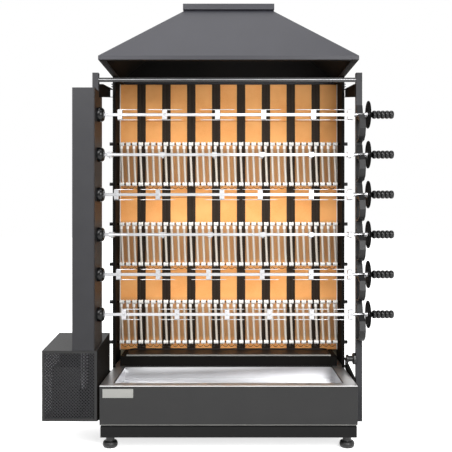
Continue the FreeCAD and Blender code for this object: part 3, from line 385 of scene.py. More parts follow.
@dataclass
class Surface:
    """Points and faces of one shape, before it becomes a mesh."""

    points: np.ndarray
    faces: list[tuple[int, ...]]

    def moved(self, x: float = 0.0, y: float = 0.0, z: float = 0.0) -> Surface:
        """The same shape, moved along x, y and z."""
        return Surface(self.points + np.array([x, y, z]), self.faces)

    def rolled(self, degrees: float) -> Surface:
        """The same shape, turned about the x axis.

        Args:
            degrees: The turn, positive from +y to +z.

        Returns:
            The turned shape.
        """
        angle = math.radians(degrees)
        turn = np.array([
            [1, 0, 0],
            [0, math.cos(angle), -math.sin(angle)],
            [0, math.sin(angle), math.cos(angle)],
        ])
        return Surface(self.points @ turn.T, self.faces)

    def repeated(self, offsets: list[tuple[float, float, float]]) -> Surface:
        """Copies of the shape, one for each row of offsets.

        Args:
            offsets: Moves along x, y and z, one row each.

        Returns:
            One shape that holds all the copies.
        """
        moves = np.array(offsets, float)[:, None]
        points = (self.points[None] + moves).reshape(-1, 3)
        return Surface(points, repeated_faces(self.faces, len(self.points), len(offsets)))


def repeated_faces(faces: list[tuple[int, ...]], step: int, copies: int) -> list[tuple[int, ...]]:
    """The faces of several copies of a shape, whose points follow each other.

    Args:
        faces: The faces of one copy.
        step: The number of its points.
        copies: How many copies there are.

    Returns:
        All their faces.
    """
    return [
        tuple(index + step * copy for index in face) for copy in range(copies) for face in faces
    ]


def joined(*shapes: Surface) -> Surface:
    """Several shapes as one.

    Args:
        *shapes: The shapes, which stay separate shells.

    Returns:
        One shape with all their points and faces.
    """
    faces: list[tuple[int, ...]] = []
    start = 0
    for shape in shapes:
        faces.extend(tuple(index + start for index in face) for face in shape.faces)
        start += len(shape.points)
    return Surface(np.concatenate([shape.points for shape in shapes]), faces)


def grid(points: np.ndarray, close_rows: bool = False, caps: bool = True) -> Surface:
    """A tube of rings: points[row, column] goes round once in the columns.

    Args:
        points: Rings of points, as rows by columns by three.
        close_rows: Whether the last ring joins the first, as in a torus.
        caps: Whether the first and last rings are closed with a face.

    Returns:
        The closed surface.
    """
    rows, columns = points.shape[:2]
    row = np.arange(rows if close_rows else rows - 1)[:, None]
    column = np.arange(columns)[None, :]
    after = (column + 1) % columns
    below = (row + 1) % rows
    corners = (row * columns + column, row * columns + after, below * columns + after,
               below * columns + column)
    faces = [tuple(face) for face in np.stack(corners, axis=-1).reshape(-1, 4).tolist()]
    if caps and not close_rows:
        faces.append(tuple(range(columns)))
        faces.append(tuple(range((rows - 1) * columns, rows * columns)))
    return Surface(points.reshape(-1, 3), faces)


def turned(profile: list[tuple[float, float]], sides: int = 32, axis: str = "x",
           ring: bool = False) -> Surface:
    """A profile of (place along the axis, radius), carried once round the axis.

    A point at place p and radius r goes to (p, r cos a, r sin a) for every angle a.

    Args:
        profile: The outline from one end to the other.
        sides: The number of steps round the axis.
        axis: The axis, x or z.
        ring: Whether the outline is closed on itself and leaves a bore.

    Returns:
        The turned shape about the origin.
    """
    along, radius = np.array(profile, float).T
    angle = np.arange(sides) * FULL_TURN / sides
    across = radius[:, None] * np.cos(angle)
    upward = radius[:, None] * np.sin(angle)
    place = np.repeat(along[:, None], sides, axis=1)
    order = (place, across, upward) if axis == "x" else (across, upward, place)
    return grid(np.stack(order, axis=-1), close_rows=ring)


def ringed(places: list[float], radii: list[np.ndarray]) -> Surface:
    """A shape along x whose radius is its own function of the angle at each place.

    At place p and angle a the point is (p, r cos a, r sin a), with r that place's radius at a.

    Args:
        places: Where each ring lies along x.
        radii: The ring's radii, at equal steps of the angle.

    Returns:
        The closed shape about the origin.
    """
    radius = np.array(radii)
    angle = np.arange(radius.shape[1]) * FULL_TURN / radius.shape[1]
    place = np.repeat(np.array(places)[:, None], len(angle), axis=1)
    return grid(np.stack([place, radius * np.cos(angle), radius * np.sin(angle)], axis=-1))


def prism(outline: list[tuple[float, float]], low: float, high: float, axis: str) -> Surface:
    """A flat outline carried straight from one place to another.

    Args:
        outline: Corners in the two directions across the axis, in x, y, z order.
        low: Where it starts along the axis.
        high: Where it ends.
        axis: The direction it is carried in.

    Returns:
        The closed shape.
    """
    corners = np.array(outline, float)
    rings = np.stack([corners, corners])
    place = np.array([low, high])[:, None, None] * np.ones((1, len(corners), 1))
    at = "xyz".index(axis)
    return grid(np.concatenate([rings[..., :at], place, rings[..., at:]], axis=-1))


def slab(x: tuple[float, float], y: tuple[float, float], z: tuple[float, float]) -> Surface:
    """A block between two places along each axis."""
    return prism([(x[0], y[0]), (x[1], y[0]), (x[1], y[1]), (x[0], y[1])], z[0], z[1], "z")


def new_piece(name: str, shape: Surface) -> bpy.types.Object:
    """Make an object of a shape and put it in the scene.

    Args:
        name: The object's name.
        shape: Its points and faces in the row frame.

    Returns:
        The object, which has no material yet.
    """
    mesh = bpy.data.meshes.new(name)
    mesh.from_pydata(shape.points.tolist(), [], shape.faces)
    piece = bpy.data.objects.new(name, mesh)
    bpy.context.scene.collection.objects.link(piece)
    return piece


def finish_mesh(piece: bpy.types.Object, finish: Finish, bevel: float) -> None:
    """Point the faces outwards, shade round parts smoothly and round the edges.

    Args:
        piece: The object.
        finish: What it is made of.
        bevel: The width of the rounded edges in metres, or none at zero.
    """
    mesh = piece.data
    work = bmesh.new()
    work.from_mesh(mesh)
    bmesh.ops.recalc_face_normals(work, faces=work.faces)
    work.to_mesh(mesh)
    work.free()
    mesh.shade_smooth()
    mesh.set_sharp_from_angle(angle=math.radians(SHARP_FROM))
    mesh.materials.clear()
    mesh.materials.append(finish.material())
    if bevel:
        edge = piece.modifiers.new("rounded_edges", "BEVEL")
        edge.width = bevel
        edge.segments = 2
        edge.limit_method = "ANGLE"
        edge.angle_limit = math.radians(ROUNDED_FROM)
        edge.harden_normals = True


def place_piece(name: str, shape: Surface, finish: Finish, body: str,
                replaces: tuple[str, ...] = (), bevel: float = 0.0) -> None:
    """Make an object of a shape and let it ride on a CAD body.

    Args:
        name: The piece's name.
        shape: Its points and faces in the row frame.
        finish: What it is made of.
        body: The body that it moves with.
        replaces: CAD nodes that it stands for.
        bevel: Width of its rounded edges in metres.
    """
    piece = new_piece(name, shape)
    finish_mesh(piece, finish, bevel)
    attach(piece, body)
    if replaces:
        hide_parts(*replaces)
    log.info("%s rides on %s", name, body)


def soot(mesh: bpy.types.Mesh, inwards: bool) -> None:
    """Blacken the faces that the smoke reaches.

    Args:
        mesh: A hood, whose faces that look down are blackened, or a pair of walls.
        inwards: Whether it is the walls, whose faces other than the outer ones are blackened.
    """
    mesh.materials.append(SOOT_AND_SHADE_SHEET.material())
    count = len(mesh.polygons)
    normals = np.empty(count * 3)
    centres = np.empty(count * 3)
    mesh.polygons.foreach_get("normal", normals)
    mesh.polygons.foreach_get("center", centres)
    normals = normals.reshape(count, 3)
    side = np.sign(centres.reshape(count, 3)[:, 0] - middle_of_fire())
    outwards = normals[:, 0] * side
    reached = outwards < OUTER_LEAN if inwards else normals[:, 2] < UNDER_LEAN
    mesh.polygons.foreach_set("material_index", reached.astype(np.int32))


def soften(frame: dict, node: str, finish: Finish, body: str, bevel: float) -> None:
    """Stand a copy with rounded edges in for a CAD node made of sheet or bar.

    Args:
        node: The CAD node.
        finish: What it is made of.
        body: The body that it moves with.
        bevel: Width of the rounded edges in metres.
    """
    mesh = frame["nodes"][node].data.copy()
    piece = bpy.data.objects.new(node + "_folded", mesh)
    bpy.context.scene.collection.objects.link(piece)
    work = bmesh.new()
    work.from_mesh(mesh)
    bmesh.ops.remove_doubles(work, verts=work.verts, dist=MERGE_DISTANCE)
    flat = math.radians(FLAT_WITHIN)
    bmesh.ops.dissolve_limit(work, angle_limit=flat, verts=work.verts, edges=work.edges)
    work.to_mesh(mesh)
    work.free()
    finish_mesh(piece, finish, bevel)
    if node in SOOTED:
        soot(mesh, inwards=SOOTED[node])
    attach(piece, body)
    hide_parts(node)
    log.info("%s stands for %s", piece.name, node)


def ends(node: str) -> tuple[np.ndarray, np.ndarray]:
    """The lowest and highest corners of a CAD node as arrays."""
    low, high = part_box(node)
    return np.array(low), np.array(high)


def middle(node: str) -> np.ndarray:
    """The centre of a CAD node's box."""
    low, high = ends(node)
    return (low + high) / 2


def middle_of_fire() -> float:
    """Where the middle of the firebox lies along x."""
    return float(middle("base_cabinet")[0])


@dataclass
class SpitSet:
    """Six spits: bar, sleeve, guard disc, ribbed grip and forks.

    The broken edge is the share of half the bar's width at which its flats end, and the tine's
    tip is a share of its radius. The stations are the forks' places in millimetres right of the
    middle of the fire, spit by spit from the top, as read from the photograph.
    """

    bar: float = 13 * MM
    broken_edge: float = 0.82
    journal: float = 8 * MM
    journal_start: float = 561 * MM
    collar_length: float = 16 * MM
    cone_length: float = 15 * MM
    disc_thickness: float = 6 * MM
    disc_edge: float = 1.2 * MM
    neck_length: float = 3 * MM
    hub_length: float = 21 * MM
    hub_height: float = 43 * MM
    hub_width: float = 22 * MM
    hub_ease: float = 2 * MM
    tine: float = 1.6 * MM
    tine_reach: float = 70 * MM
    tine_point: float = 14 * MM
    tine_tip: float = 0.15
    tine_ease: float = 0.1 * MM
    screw_radius: float = 5 * MM
    screw_height: float = 5.5 * MM
    grip_radius: float = 19 * MM
    grip_groove: float = 5 * MM
    grip_length: float = 96 * MM
    ribs: int = 5
    rib_steps: int = 10
    rib_power: float = 0.6
    flat_spits: tuple[int, ...] = (2, 4)
    stations: tuple[tuple[float, ...], ...] = (
        (-489, -288, -50, 158, 382, 549),
        (-534, -297, -64, 150, 371, 546),
        (-505, -318, -30, 142, 372, 546),
        (-525, -297, -83, 153, 370, 549),
        (-495, -317, -90, 151, 371, 546),
        (-471, -232, -7, 184, 374, 549),
    )

    def bar_shape(self, left: float, right: float, journal_left: float) -> Surface:
        """Square bar with broken edges and a turned round end that flares at its tip.

        Args:
            left: The bar's left end.
            right: The round end's right end.
            journal_left: Where the bar turns round.

        Returns:
            The bar along x through the origin.
        """
        half = self.bar / 2
        cut = half * self.broken_edge
        outline = [(half, cut), (cut, half), (-cut, half), (-half, cut)]
        outline += [(-y, -z) for y, z in outline]
        square = prism(outline, left, journal_left, "x")
        r = self.journal
        collar = journal_left + self.collar_length
        sleeve = turned([
            (journal_left, r * 0.8),
            (journal_left + 1 * MM, r),
            (collar, r),
            (collar + 3 * MM, r * 0.93),
            (right - 1 * MM, r * 0.93),
            (right, r * 0.85),
        ])
        cone = turned([
            (right - self.cone_length, r * 0.9), (right - 1 * MM, r * 1.4), (right, r * 1.3)
        ])
        return joined(square, sleeve, cone)

    def disc_shape(self, guard: float, guard_left: float, right: float) -> Surface:
        """Guard disc with an eased rim, and the neck that runs from it to the grip.

        Args:
            guard: Radius of the guard disc.
            guard_left: The disc's left face.
            right: The grip's right end.

        Returns:
            The disc along x through the origin.
        """
        edge = self.disc_edge
        guard_right = guard_left + self.disc_thickness
        return turned([
            (guard_left, self.journal),
            (guard_left, guard - edge),
            (guard_left + edge, guard),
            (guard_right - edge, guard),
            (guard_right, guard - edge),
            (guard_right, guard * 0.4),
            (guard_right + self.neck_length, guard * 0.3),
            (right - self.grip_length, self.journal * 1.25),
        ], sides=64)

    def grip_shape(self, right: float) -> Surface:
        """Ribbed grip.

        Its radius is its crest less the groove times one less w. There w is the size of the
        sine of half a turn for each rib, to a power below one, which gives round ribs with
        narrow valleys.

        Args:
            right: The grip's right end.

        Returns:
            The grip along x through the origin.
        """
        along = np.linspace(0, 1, self.ribs * self.rib_steps + 1)
        wave = np.abs(np.sin(along * math.pi * self.ribs)) ** self.rib_power
        radius = self.grip_radius - self.grip_groove * (1 - wave)
        place = right - self.grip_length + along * self.grip_length
        profile = [(place[0], self.journal), *zip(place, radius), (place[-1], self.journal)]
        return turned(profile, sides=40)

    def screw_shape(self) -> Surface:
        """Set screw on the side of a clamp block, with a hollow in its head.

        Returns:
            The screw, which points to the front.
        """
        r = self.screw_radius
        face = self.hub_width / 2
        top = face + self.screw_height
        profile = [(face, r), (top - MM, r), (top, r - MM), (top, r * 0.5), (face + 3 * MM, r * 0.5)]
        return turned(profile, sides=12, axis="z").rolled(90)

    def fork_shape(self, left: bool, right: bool) -> Surface:
        """Clamp block with a set screw, and a pointed tine along its top and bottom.

        Args:
            left: Whether the tines run to the left of the block.
            right: Whether they run to the right.

        Returns:
            The fork about the origin, upright.
        """
        half = self.hub_length / 2
        tall = self.hub_height / 2
        wide = self.hub_width / 2
        ease = self.hub_ease
        outline = [(wide, tall - ease), (wide - ease, tall), (ease - wide, tall),
                   (-wide, tall - ease)]
        outline += [(-y, -z) for y, z in outline]
        block = prism(outline, -half, half, "x")
        start = -half - self.tine_reach if left else -half
        end = half + self.tine_reach if right else half
        tine = turned([
            (start, self.tine * (self.tine_tip if left else 1)),
            (start + (self.tine_point if left else self.tine_ease), self.tine),
            (end - (self.tine_point if right else self.tine_ease), self.tine),
            (end, self.tine * (self.tine_tip if right else 1)),
        ], sides=12)
        lift = tall + self.tine
        return joined(block, self.screw_shape(), tine.moved(z=lift), tine.moved(z=-lift))

    def fork_row(self, number: int) -> Surface:
        """All forks of one spit; the first has no tines on its left, the last none on its right.

        Args:
            number: The spit's number from the top.

        Returns:
            The forks along x through the origin.
        """
        stations = self.stations[number - 1]
        forks = []
        for index, station in enumerate(stations):
            fork = self.fork_shape(index > 0, index < len(stations) - 1)
            if number in self.flat_spits:
                fork = fork.rolled(90)
            forks.append(fork.moved(x=middle_of_fire() + station * MM))
        return joined(*forks)

    def build(self) -> None:
        """Make the bars, handles and forks, and put them in the CAD's place."""
        for number in SPITS:
            body = "spit_%d" % number
            low, high = ends("spit_%d" % number)
            _, y, z = (low + high) / 2
            handle_low, handle_high = ends("handle_%d" % number)
            bar = self.bar_shape(low[0], high[0], middle_of_fire() + self.journal_start)
            place_piece("spit_bar_%d" % number, bar.moved(y=y, z=z), POLISHED_BAR, body,
                        ("spit_%d" % number,))
            guard = (handle_high[2] - handle_low[2]) / 2
            disc = self.disc_shape(guard, handle_low[0], handle_high[0])
            place_piece("guard_disc_%d" % number, disc.moved(y=y, z=z), PRESSED_BLACK, body,
                        ("handle_%d" % number,))
            grip = self.grip_shape(handle_high[0])
            place_piece("spit_grip_%d" % number, grip.moved(y=y, z=z), MOULDED_BLACK, body)
            place_piece("fork_row_%d" % number, self.fork_row(number).moved(y=y, z=z),
                        POLISHED_BAR, body, ("forks_%d" % number,),
                        bevel=0.6 * MM)


@dataclass
class HeaterBanks:
    """Rows of porcelain beads on rods, with heater tubes that lean from row to row."""

    levels: tuple[float, ...] = (391 * MM, 788 * MM, 1196 * MM)
    span: float = 205 * MM
    pitch: float = 32 * MM
    beads: int = 35
    bead_length: float = 22.5 * MM
    bead_radius: float = 10.5 * MM
    tube_radius: float = 6.8 * MM
    tube_turns: int = 24
    tube_swell: float = 0.07
    lean: float = 8 * MM
    cap_radius: float = 7.6 * MM
    cap_height: float = 15 * MM
    link_radius: float = 1.6 * MM
    link_drop: float = 11 * MM
    link_steps: int = 10
    link_power: float = 0.8
    link_forward: float = 0.25

    def bead_shape(self) -> Surface:
        """Bead along x, with a waist in its middle and a collar at each end.

        Returns:
            The bead about the origin.
        """
        half = self.bead_length / 2
        r = self.bead_radius
        collar = [(1.0, 0.5), (1.0, 0.85), (0.8, 1.0), (0.45, 1.0), (0.3, 0.82)]
        profile = [(-half * place, r * radius) for place, radius in collar]
        profile += [(half * place, r * radius) for place, radius in reversed(collar)]
        return turned(profile, sides=14)

    def tube_shape(self) -> Surface:
        """Heater tube whose rings move steadily to the left on the way up.

        At a share s of its height the ring's centre is at lean times (one half less s). The
        radius is full at each of the winding's turns, and less by twice the swell between them.

        Returns:
            The tube, which stands on the origin.
        """
        free = self.span - 2 * self.bead_radius
        share = np.linspace(0, 1, 2 * self.tube_turns + 1)
        angle = np.arange(12) * FULL_TURN / 12
        wave = np.cos(share * self.tube_turns * FULL_TURN)
        radius = self.tube_radius * (1 - self.tube_swell * (1 - wave))
        x = self.lean * (0.5 - share)[:, None] + radius[:, None] * np.cos(angle)
        y = radius[:, None] * np.sin(angle)
        z = np.repeat((share * free)[:, None], len(angle), axis=1)
        return grid(np.stack([x, y, z], axis=-1))

    def cap_shape(self) -> Surface:
        """Collar round the upper end of a tube.

        Returns:
            The collar, at its height above the lower row of beads.
        """
        top = self.span - self.bead_radius
        bottom = top - self.cap_height
        profile = [(bottom, self.tube_radius), (bottom, self.cap_radius - MM),
                   (bottom + MM, self.cap_radius), (top, self.cap_radius)]
        return turned(profile, sides=12, axis="z")

    def link_shape(self) -> Surface:
        """Bent dark wire under a row of beads, bowed down from each bead to the next, as painted
        shade below the row.

        A share s of the way between two beads it lies lower by the drop times the sine of half
        a turn of s, to a power just below one, and nearer to the front by a quarter of that.

        Returns:
            The wire along x, with the row's middle at the origin.
        """
        share = np.arange((self.beads - 1) * self.link_steps + 1) / self.link_steps
        drop = self.link_drop * np.abs(np.sin(share * math.pi)) ** self.link_power
        angle = np.arange(6) * FULL_TURN / 6
        x = self.pitch * (share - (self.beads - 1) / 2)
        y = -self.link_forward * drop[:, None] + self.link_radius * np.cos(angle)
        z = -drop[:, None] + self.link_radius * np.sin(angle)
        return grid(np.stack([np.repeat(x[:, None], len(angle), axis=1), y, z], axis=-1))

    def build(self) -> None:
        """Thread the beads, stand the capped tubes between the rows, and hang a dark wire of painted
        shade under each lower row.
        """
        fire = middle_of_fire()
        x = fire + self.pitch * (np.arange(self.beads) - (self.beads - 1) / 2)
        y = float(middle("insulator_beads")[1])
        rows = [z for level in self.levels for z in (level, level + self.span)]
        bead_spots = [(place, y, z) for z in rows for place in x]
        beads = self.bead_shape().repeated(bead_spots)
        place_piece("porcelain_beads", beads, PORCELAIN, "stand",
                    ("insulator_beads",))
        tube_spots = [(place, y, z + self.bead_radius) for z in self.levels for place in x]
        tubes = self.tube_shape().repeated(tube_spots)
        place_piece("heater_tubes", tubes, HEATER_SCALE, "stand",
                    ("heater_rods",))
        cap_spots = [(place - self.lean / 2, y, z) for z in self.levels for place in x]
        caps = self.cap_shape().repeated(cap_spots)
        place_piece("tube_caps", caps, PORCELAIN, "stand")
        # Under each lower row of beads a dark wire paints the shaded band there.
        drop = self.bead_radius + self.link_radius
        links = self.link_shape().repeated([(fire, y, z - drop) for z in self.levels])
        place_piece("shade_wires", links, BLACK_CASTING, "stand")


@dataclass
class Lining:
    """Refractory tiles with eased edges, and beside them white strips that are painted highlights of
    the corner edges.
    """

    columns: int = 9
    pitch: float = 130.4 * MM
    width: float = 87 * MM
    tile_height: float = 399 * MM
    joint: float = 0.8 * MM
    strip: float = 4 * MM
    strip_gap: float = 0.3 * MM
    strip_forward: float = 8 * MM

    def tiles(self) -> list[Surface]:
        """Tiles stacked in the CAD's columns, the top ones cut to the height that is left.

        Returns:
            The tiles, column by column.
        """
        low, high = ends("refractory_tiles")
        tiles = []
        for column in range(self.columns):
            x = middle_of_fire() + self.pitch * (column - (self.columns - 1) / 2)
            bottom = low[2]
            while bottom < high[2] - self.joint:
                top = min(bottom + self.tile_height, high[2])
                span = (x - self.width / 2, x + self.width / 2)
                tiles.append(slab(span, (low[1], high[1]), (bottom + self.joint, top - self.joint)))
                bottom = top
        return tiles

    def strips(self) -> list[Surface]:
        """A white strip at each side of the lining, in front of the tiles: a painted highlight of
        the metal edge at the corner.

        Returns:
            The left and the right strip.
        """
        low, high = ends("refractory_tiles")
        half = (high[0] - low[0]) / 2
        strips = []
        for side in (-1, 1):
            inner = middle_of_fire() + side * (half + self.strip_gap)
            outer = inner + side * self.strip
            x = (min(inner, outer), max(inner, outer))
            strips.append(slab(x, (low[1] - self.strip_forward, high[1]), (low[2], high[2])))
        return strips

    def build(self) -> None:
        """Set the tiles and the strips."""
        place_piece("clay_tiles", joined(*self.tiles()), FIRED_CLAY, "stand",
                    ("refractory_tiles",), bevel=2 * MM)
        # White porcelain strips stand in as painted highlights of the metal corner edges.
        place_piece("corner_edge_highlights", joined(*self.strips()), PORCELAIN, "stand",
                    bevel=0.5 * MM)


@dataclass
class Deck:
    """A black line round the pan's opening in the bright deck: painted shadow under the opening's
    edge.
    """

    opening_half: float = 515 * MM
    front_margin: float = 50 * MM
    opening_depth: float = 370 * MM
    shadow_width: float = 4.5 * MM
    below: float = 0.1 * MM
    above: float = 0.3 * MM

    def build(self) -> None:
        """Line the four sides of the opening, from just above the sheet's under face."""
        low, high = ends("pan_top_frame")
        fire = middle_of_fire()
        z = (low[2] + self.below, high[2] + self.above)
        x0, x1 = fire - self.opening_half, fire + self.opening_half
        y0 = low[1] + self.front_margin
        y1 = y0 + self.opening_depth
        t = self.shadow_width
        sides = [
            slab((x0, x0 + t), (y0, y1), z),
            slab((x1 - t, x1), (y0, y1), z),
            slab((x0 + t, x1 - t), (y0, y0 + t / 2), z),
            slab((x0 + t, x1 - t), (y1 - t, y1), z),
        ]
        # Painted shadow: a black frame where the deck's edge shades the opening.
        place_piece("opening_shadow_line", joined(*sides), FOOT_RUBBER, "stand")


@dataclass
class Guard:
    """Motor guard: plain sloping top, with punched sheets in front and on the left.

    The rims are as many cells wider than the margin, and as many sheets thick, as their two
    fields say.
    """

    pitch: float = 10 * MM
    hole: float = 3.8 * MM
    margin: float = 3 * MM
    sheet: float = 1.5 * MM
    back_rise: float = 26 * MM
    chain_gap: float = 4 * MM
    rim_cells: float = 0.9
    rim_sheets: float = 1.2

    def box(self) -> tuple[np.ndarray, np.ndarray, float]:
        """The lowest and highest corners, and the height of the top's front edge."""
        low, high = ends("motor_guard")
        return low, high, high[2] - self.back_rise

    def punched(self, across: float, upward: float, sideways: bool) -> Surface:
        """A flat sheet of square cells on their corners, each with an eight-sided hole.

        Two square lattices, half a diagonal apart, set the cells in staggered rows.

        Args:
            across: The sheet's width.
            upward: Its height.
            sideways: Whether it faces to the side, in the y-z plane, and not to the front.

        Returns:
            The sheet about the origin, one face thick.
        """
        angle = np.arange(8) * FULL_TURN / 8
        hole = np.stack([np.cos(angle), np.sin(angle)], axis=-1) * self.hole
        half = self.pitch / math.sqrt(2)
        corner = np.array([[1, 0], [0, 1], [-1, 0], [0, -1]]) * half
        middles = (corner + np.roll(corner, -1, axis=0)) / 2
        edge = np.stack([corner, middles], axis=1).reshape(-1, 2)
        cell = np.concatenate([hole, edge])
        ring = [(i, 8 + i, 8 + (i + 1) % 8, (i + 1) % 8) for i in range(8)]
        columns = int((across - 2 * self.margin) // (2 * half))
        rows = int((upward - 2 * self.margin) // (2 * half))
        lattices = []
        for shift in (0, 1):
            x = (np.arange(columns - shift) - (columns - 1 - shift) / 2) * 2 * half
            z = (np.arange(rows - shift) - (rows - 1 - shift) / 2) * 2 * half
            lattices.append(np.stack(np.meshgrid(x, z), axis=-1).reshape(-1, 2))
        spots = np.concatenate(lattices)
        flat = (cell[None] + spots[:, None]).reshape(-1, 2)
        faces = repeated_faces(ring, len(cell), len(spots))
        level = np.zeros(len(flat))
        if sideways:
            return Surface(np.stack([level, flat[:, 0], flat[:, 1]], axis=-1), faces)
        faces = [face[::-1] for face in faces]
        return Surface(np.stack([flat[:, 0], level, flat[:, 1]], axis=-1), faces)

    def place_sheets(self) -> None:
        """Put the two punched sheets in the guard's front and left faces."""
        low, high, front_top = self.box()
        x, y, _ = (low + high) / 2
        z = (low[2] + front_top) / 2
        width, depth, _ = high - low
        height = front_top - low[2]
        front = self.punched(width, height, sideways=False)
        side = self.punched(depth, height, sideways=True)
        sheets = joined(
            front.moved(x=x, y=low[1] + self.sheet, z=z), side.moved(x=low[0] + self.sheet, y=y, z=z)
        )
        piece = new_piece("punched_guard", sheets)
        piece.data.materials.append(MESH_COAT.material())
        wall = piece.modifiers.new("sheet", "SOLIDIFY")
        wall.thickness = self.sheet
        wall.offset = 1.0
        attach(piece, "stand")
        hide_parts("motor_guard")
        log.info("punched_guard rides on stand")

    def rims(self) -> list[Surface]:
        """Plain strips round both punched sheets, wide enough to cover their ragged edges.

        Returns:
            Four strips in front, and four on the left.
        """
        low, high, top = self.box()
        wide = self.margin + self.pitch * self.rim_cells
        s = self.sheet * self.rim_sheets
        x, y = (low[0], high[0]), (low[1], high[1])
        front, left = (y[0], y[0] + s), (x[0], x[0] + s)
        lower, upper = (low[2], low[2] + wide), (top - wide, top)
        between = (low[2] + wide, top - wide)
        return [
            slab(x, front, lower),
            slab(x, front, upper),
            slab((x[0], x[0] + wide), front, between),
            slab((x[1] - wide, x[1]), front, between),
            slab(left, (y[0] + s, y[1]), lower),
            slab(left, (y[0] + s, y[1]), upper),
            slab(left, (y[0] + s, y[0] + wide), between),
            slab(left, (y[1] - wide, y[1]), between),
        ]

    def roof(self, across: tuple[float, float], along: tuple[float, float]) -> Surface:
        """A part of the sloping top.

        Its height is the front edge's, plus the rise times the share of the way to the back.

        Args:
            across: Its bounds in x.
            along: Its bounds in y.

        Returns:
            The part, as thick as the sheet.
        """
        low, high, front_top = self.box()
        depth = high[1] - low[1]
        heights = [front_top + self.back_rise * (at - low[1]) / depth for at in along]
        upper = list(zip(along, heights))
        under = [(at, height - self.sheet) for at, height in reversed(upper)]
        return prism(upper + under, across[0], across[1], "x")

    def build(self) -> None:
        """Close the box around the gear motor, with an opening for the chain in its top."""
        self.place_sheets()
        low, high, front_top = self.box()
        s = self.sheet
        x, y = (low[0], high[0]), (low[1], high[1])
        way_low, way_high = ends("drive_chain")
        slot_x = (way_low[0] - self.chain_gap, way_high[0] + self.chain_gap)
        slot_y = (way_low[1] - self.chain_gap, way_high[1] + self.chain_gap)
        panels = [
            prism([(y[0], front_top), (y[1], front_top), (y[1], high[2])], x[0], x[0] + s, "x"),
            self.roof((x[0], slot_x[0]), y),
            self.roof((slot_x[1], x[1]), y),
            self.roof(slot_x, (y[0], slot_y[0])),
            self.roof(slot_x, (slot_y[1], y[1])),
            *self.rims(),
        ]
        place_piece("guard_panels", joined(*panels), FRONT_COAT, "stand",
                    bevel=0.3 * MM)
        # The guard's back and floor are black as painted shade inside the box, seen through the
        # holes.
        dark = [slab(x, (y[1] - s, y[1]), (low[2], high[2])), slab(x, y, (low[2], low[2] + s))]
        place_piece("guard_tray", joined(*dark), SOOT_AND_SHADE_SHEET, "stand")


@dataclass
class Bearings:
    """Turned bearing housings with the bright sockets inside them."""

    bore: float = 10.1 * MM
    cup: float = 24 * MM
    cup_floor: float = 6 * MM
    lip: float = 2 * MM
    socket_radius: float = 20 * MM
    socket_length: float = 21 * MM
    square_half: float = 6.8 * MM
    square_depth: float = 12.5 * MM
    sides: int = 32

    def housing_shape(self) -> Surface:
        """Domed housing, turned from one closed outline with a cup for the socket.

        Returns:
            The housing, in the flanges' place along x.
        """
        low, high = ends("bearing_flanges")
        radius = (high[1] - low[1]) / 2
        left, right = low[0], high[0]
        length = right - left
        return turned([
            (left, self.bore),
            (left, radius),
            (left + length * 0.45, radius),
            (left + length * 0.75, radius - 1.5 * MM),
            (left + length * 0.93, radius - 5 * MM),
            (right, radius - 9 * MM),
            (right, self.cup + self.lip / 2),
            (right - self.lip, self.cup),
            (left + self.cup_floor, self.cup),
            (left + self.cup_floor, self.bore),
        ], sides=48, ring=True)

    def socket_shape(self, mouth: float) -> Surface:
        """Round socket with a square hole.

        At angle a the square's radius is its half width over the larger of the sizes of the
        cosine and the sine of a.

        Args:
            mouth: Where the socket opens along x.

        Returns:
            The socket along x through the origin.
        """
        angle = np.arange(self.sides) * FULL_TURN / self.sides
        square = self.square_half / np.maximum(np.abs(np.cos(angle)), np.abs(np.sin(angle)))
        full = np.full(self.sides, self.socket_radius)
        eased = full - MM
        back = mouth - self.socket_length
        places = [back, back + MM, mouth - MM, mouth, mouth, mouth - self.square_depth]
        return ringed(places, [eased, full, full, eased, square, square])

    def build(self) -> None:
        """Make a round housing and a round socket at each spit."""
        spits = {number: middle("spit_%d" % number) for number in SPITS}
        housings = self.housing_shape().repeated([(0, y, z) for _, y, z in spits.values()])
        place_piece("bearing_housings", housings, BLACK_CASTING, "stand",
                    ("bearing_flanges",))
        for number, (_, y, z) in spits.items():
            _, shaft_high = ends("drive_shaft_%d" % number)
            socket = self.socket_shape(shaft_high[0]).moved(y=y, z=z)
            place_piece("drive_socket_%d" % number, socket, DULL_STEEL, "drive_%d" % number)


